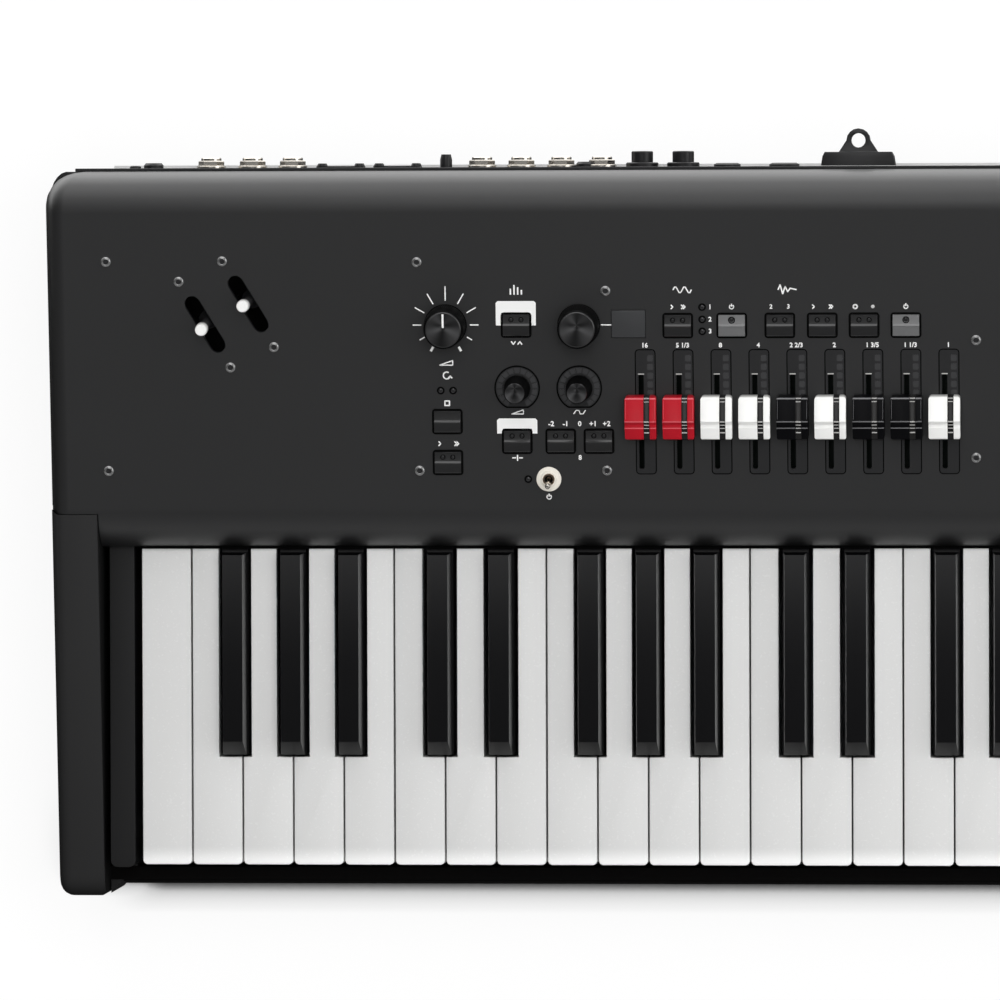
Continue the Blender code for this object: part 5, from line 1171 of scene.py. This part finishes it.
class KEYBOARD_OT_sockets(bpy.types.Operator):
    """Make the rear sockets on their board"""

    bl_idname = "keyboard.sockets"
    bl_label = "Rear sockets"

    def execute(self, context):
        finish_book(context.scene.keyboard_colours)
        low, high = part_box("jack_board")
        shape = bmesh.new()
        middle, length = (low[0] + high[0]) / 2, high[0] - low[0]
        seat = at_rear(middle - ORIGIN.x)
        holes, places = [], []
        for group, radius in ((PHONE_JACKS_S, JACK_BORE), (LINE_JACKS_S, JACK_BORE), (ROUND_SOCKETS_S, ROUND_BORE)):
            for s in group:
                places.append((s, radius))
                holes.append(circle(radius, 24, (s + ORIGIN.x - middle, 0)))
        plate = rounded(length - 0.0001, SOCKET_PLATE - 0.0001, 0.0008)
        flat_shape(shape, [plate] + holes, -PLATE_THICK, 0.0, seat, 1)
        prism(shape, oblong(-length / 2, length / 2, -BOARD_HALF, BOARD_HALF), BOARD_BACK, BOARD_FRONT, seat, 0)
        body = rounded(BODY_WIDTH, BODY_WIDTH, 0.0010, 1)
        for s, radius in places:
            flat_shape(shape, [body, circle(radius, 24)], BORE_BOTTOM, BODY_FRONT, at_rear(s), 1)
            prism(shape, body, BODY_BACK, BORE_BOTTOM, at_rear(s), 1)
            lathe(shape, [(radius * 0.98, -0.0189), (radius * 0.98, -0.0186), (0.0, -0.0186)], at_rear(s), 24, 3)
        for s in PHONE_JACKS_S:
            tube(shape, [(0.0034, -0.0035), (0.0047, -0.0028), (0.0047, 0.0046), (0.0043, 0.0050), (0.0036, 0.0050),
                         (0.0034, 0.0047)], at_rear(s), 32, 2)
            tube(shape, [(0.0047, 0.0), (0.0068, 0.0), (0.0068, 0.0010), (0.0064, 0.0013), (0.0047, 0.0013)],
                 at_rear(s), 32, 2)
            tube(shape, [(0.0047, 0.0013), (0.0060, 0.0013), (0.0060, 0.0032), (0.0056, 0.0036), (0.0047, 0.0036)],
                 at_rear(s), 6, 2)
        for s in LINE_JACKS_S:
            tube(shape, [(0.0034, -0.0030), (0.0050, -0.0028), (0.0050, 0.0070), (0.0046, 0.0074), (0.0037, 0.0074),
                         (0.0034, 0.0071)], at_rear(s), 32, 1)
            tube(shape, [(0.0050, 0.0), (0.0075, 0.0), (0.0075, 0.0018), (0.0070, 0.0022), (0.0050, 0.0022)],
                 at_rear(s), 32, 1)
        low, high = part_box("rear_panel")
        # A thin strip standing out of the rear panel, coloured light grey: a painted reflection of the white backdrop
        painted_rear_reflection = oblong(low[0] + 0.010, CAD_BOX[1][0] - 0.012, 0, REAR_REFLECTION_DEPTH)
        prism(shape, painted_rear_reflection, REAR_REFLECTION_Z, REAR_REFLECTION_Z + 0.0012, Matrix.Translation((0, high[1] - 0.0001, 0)), 4)
        for s, radius, proud in REAR_HEADS:
            lathe(shape, [(radius, -0.0002), (radius, proud * 0.6), (radius * 0.8, proud), (0.0, proud)],
                  at_rear(s), 24, 1)
        for s in ROUND_SOCKETS_S:
            flat_shape(shape, [rounded(0.0217, 0.0160, 0.0020), circle(0.0077, 32)], 0.0, 0.0009, at_rear(s), 1)
            tube(shape, [(0.0060, -0.0030), (0.0078, -0.0028), (0.0078, 0.0002), (0.0075, 0.0004), (0.0062, 0.0004)],
                 at_rear(s), 40, 1)
            lathe(shape, [(0.0052, -0.0186), (0.0052, -0.0096), (0.0050, -0.0094), (0.0, -0.0094)], at_rear(s), 32, 1)
            for x, y in arc((0, 0), 0.0034, 0, 180, 4):
                pin = Matrix.Translation((x, y, 0))
                lathe(shape, [(0.0006, -0.0095), (0.0006, -0.00935), (0.0, -0.00935)], at_rear(s) @ pin, 12, 3)
        add_piece("rear_sockets", shape, ("board", "black_plastic", "nickel", "pit", "painted_rear_reflection"), "case",
                  ("jack_board",), 0.0, 40)
        return {"FINISHED"}


# What polished surfaces see of the room: bright behind the keyboard, dark in front, at the left and overhead
ROOM_FRONT, ROOM_LEFT, ROOM_RIGHT, ROOM_REAR, ROOM_CEILING = 0.50, 0.04, 0.45, 1.0, 0.12


def studio_sky(studio):
    """Soft light from all round; the camera sees white, and polished surfaces a room with dark and bright sides."""
    world = bpy.data.worlds.new("studio")
    bpy.context.scene.world = world
    world.use_nodes = True
    nodes, links = world.node_tree.nodes, world.node_tree.links
    background = nodes["Background"]
    path = nodes.new("ShaderNodeLightPath")
    place = nodes.new("ShaderNodeTexCoord")
    way = split_axes(nodes, links, place.outputs["Generated"])

    def mix(factor, low, high):
        node = nodes.new("ShaderNodeMix")
        node.data_type = "FLOAT"
        for socket, value in (("Factor", factor), ("A", low), ("B", high)):
            feed(links, value, node.inputs[socket])
        return node.outputs["Result"]

    def share(axis, start, end):
        return map_range(nodes, links, way[axis], start, end)

    room = mix(share("X", -0.5, 0.5), ROOM_LEFT, ROOM_RIGHT)
    room = mix(share("Y", -0.6, -0.1), ROOM_FRONT, room)
    room = mix(share("Y", 0.1, 0.6), room, ROOM_REAR)
    room = mix(share("Z", 0.30, 0.85), room, ROOM_CEILING)
    level = mix(path.outputs["Is Glossy Ray"], studio.sky, room)
    level = mix(path.outputs["Is Transmission Ray"], level, 1.0)
    level = mix(path.outputs["Is Camera Ray"], level, 1.0)
    links.new(level, background.inputs["Strength"])
    background.inputs["Color"].default_value = (1.0, 1.0, 1.0, 1.0)


# Each lamp: place, size, share of the lamp power, and whether polished surfaces see it
LAMPS = {
    "lamp_left": ((-2.6, 0.5, 1.9), (1.8, 1.8), 0.05, False),
    "lamp_right": ((2.2, 0.4, 2.0), (1.8, 1.8), 0.60, True),
    "lamp_front": ((-0.3, -2.8, 2.1), (1.8, 1.8), 0.22, False),
    "lamp_top": ((0.2, 0.2, 3.1), (2.2, 2.0), 1.95, False),
    "lamp_rear": ((-0.4, 2.7, 1.7), (2.6, 2.6), 0.85, True),
    "lamp_rear_high": ((-0.3, 1.3, 3.4), (1.8, 1.6), 0.44, True),
}
LAMP_AIM = Vector((-0.2, 0.0, 0.1))
# How the floor near the keyboard darkens: (share of open sky within the reach, brightness)
FLOOR_SHADE_REACH = 0.024
FLOOR_SHADE = ((0.632, 0.0), (0.658, 0.10), (0.680, 0.21), (0.703, 0.34), (0.722, 0.51), (0.741, 0.615),
               (0.763, 0.665), (0.806, 0.77), (0.866, 0.85), (0.965, 0.965), (1.0, 1.0))
# What gloss sees of the floor in front of the case
FLOOR_FRONT_GLOSS = 0.22
# How far before the front the floor's shade has gone, and behind the rear its gloss has come
FLOOR_FADE_FRONT, FLOOR_FADE_REAR = 0.05, 0.10
CAMERA_LENS = 352.3
CAMERA_PLACE = (0.01935, 0.13541, 4.592)
CAMERA_TURN = (-0.028752, 0.079319, -0.003036)


def floor_finish(studio, front, rear):
    """A white floor that darkens tightly along the keyboard's front, and that gloss sees brighter behind it."""
    material = make_finish("studio_floor", tuple(studio.floor), 0.9, specular=0.0, grain=60.0, tint=0.003, bump=0.0)
    nodes, links = material.node_tree.nodes, material.node_tree.links
    shader = nodes["Principled BSDF"]
    path = nodes.new("ShaderNodeLightPath")
    place = nodes.new("ShaderNodeTexCoord")
    back = split_axes(nodes, links, place.outputs["Object"])["Y"]

    def join(operation, *values):
        return calculate(nodes, links, operation, *values)

    openness = nodes.new("ShaderNodeAmbientOcclusion")
    openness.inputs["Distance"].default_value = FLOOR_SHADE_REACH
    openness.samples = 64
    shade = nodes.new("ShaderNodeValToRGB")
    ramp = shade.color_ramp
    while len(ramp.elements) < len(FLOOR_SHADE):
        ramp.elements.new(0.5)
    for element, (at, level) in zip(ramp.elements, FLOOR_SHADE):
        element.position = at
        element.color = (level, level, level, 1.0)
    links.new(openness.outputs["AO"], shade.inputs["Fac"])
    before = map_range(nodes, links, back, front + FLOOR_FADE_FRONT, front)
    behind = map_range(nodes, links, back, rear, rear + FLOOR_FADE_REAR, 0.0, studio.floor_gloss)
    shaded = join("MULTIPLY_ADD", join("SUBTRACT", shade.outputs["Color"], 1.0), before, 1.0)
    seen = join("MULTIPLY", join("MULTIPLY", shaded, path.outputs["Is Camera Ray"]), studio.floor_lift)
    glossy = join("MULTIPLY", behind, path.outputs["Is Glossy Ray"])
    links.new(join("ADD", seen, glossy), shader.inputs["Emission Strength"])
    shader.inputs["Emission Color"].default_value = (1.0, 1.0, 1.0, 1.0)
    in_front = join("SUBTRACT", 1.0, join("GREATER_THAN", back, rear))
    dark_front = join("MULTIPLY", in_front, path.outputs["Is Glossy Ray"])
    share = join("MULTIPLY_ADD", dark_front, FLOOR_FRONT_GLOSS - 1.0, 1.0)
    share = join("MULTIPLY", share, join("MULTIPLY_ADD", path.outputs["Is Camera Ray"], studio.floor_seen - 1.0, 1.0))
    scale_colour(nodes, links, shader, share)
    return material


class KEYBOARD_OT_studio(bpy.types.Operator):
    """Set up the floor, the soft lamps, the sky and the camera"""

    bl_idname = "keyboard.studio"
    bl_label = "Studio"

    def execute(self, context):
        studio = context.scene.keyboard_studio
        scene = context.scene
        shape = bmesh.new()
        bmesh.ops.create_grid(shape, x_segments=12, y_segments=12, size=9.0)
        mesh = bpy.data.meshes.new("studio_floor")
        shape.to_mesh(mesh)
        shape.free()
        floor = bpy.data.objects.new("studio_floor", mesh)
        scene.collection.objects.link(floor)
        low, high = CAD_BOX
        material = floor_finish(studio, low[1], high[1])
        mesh.materials.append(material)

        for name, (at, size, share, glossy) in LAMPS.items():
            lamp = bpy.data.lights.new(name, "AREA")
            lamp.shape = "RECTANGLE"
            lamp.size, lamp.size_y = size
            lamp.energy = studio.lamp_power * share
            thing = bpy.data.objects.new(name, lamp)
            scene.collection.objects.link(thing)
            thing.location = at
            thing.rotation_euler = (LAMP_AIM - Vector(at)).to_track_quat("-Z", "Y").to_euler()
            thing.visible_camera = False
            thing.visible_glossy = glossy
        studio_sky(studio)

        camera = bpy.data.cameras.new("camera")
        camera.sensor_width = 36.0
        camera.lens = CAMERA_LENS
        camera.clip_end = 30.0
        holder = bpy.data.objects.new("camera", camera)
        scene.collection.objects.link(holder)
        holder.location = CAMERA_PLACE
        holder.rotation_euler = CAMERA_TURN
        scene.camera = holder
        scene.view_settings.view_transform = "Standard"
        return {"FINISHED"}


class KEYBOARD_PT_panel(bpy.types.Panel):
    """The keyboard's pieces in the sidebar"""

    bl_label = "Stage keyboard"
    bl_idname = "KEYBOARD_PT_panel"
    bl_space_type = "VIEW_3D"
    bl_region_type = "UI"
    bl_category = "Keyboard"

    def draw(self, context):
        for operator in OPERATORS:
            self.layout.operator(operator.bl_idname)
        for group in ("keyboard_colours", "keyboard_sizes", "keyboard_studio"):
            settings = getattr(context.scene, group)
            for name in type(settings).__annotations__:
                self.layout.prop(settings, name)


GROUPS = {"keyboard_colours": KeyboardColours, "keyboard_sizes": KeyboardSizes, "keyboard_studio": KeyboardStudio}
OPERATORS = (KEYBOARD_OT_case, KEYBOARD_OT_keys, KEYBOARD_OT_knobs, KEYBOARD_OT_levers, KEYBOARD_OT_buttons,
             KEYBOARD_OT_drawbars, KEYBOARD_OT_displays, KEYBOARD_OT_marks, KEYBOARD_OT_screws,
             KEYBOARD_OT_sockets, KEYBOARD_OT_studio)


def register():
    for name, group in GROUPS.items():
        bpy.utils.register_class(group)
        setattr(bpy.types.Scene, name, PointerProperty(type=group))
    for operator in OPERATORS:
        bpy.utils.register_class(operator)
    bpy.utils.register_class(KEYBOARD_PT_panel)


def unregister():
    bpy.utils.unregister_class(KEYBOARD_PT_panel)
    for operator in reversed(OPERATORS):
        bpy.utils.unregister_class(operator)
    for name, group in GROUPS.items():
        delattr(bpy.types.Scene, name)
        bpy.utils.unregister_class(group)


def main():
    register()
    for operator in OPERATORS:
        group, name = operator.bl_idname.split(".")
        getattr(getattr(bpy.ops, group), name)()


if __name__ == "__main__":
    main()
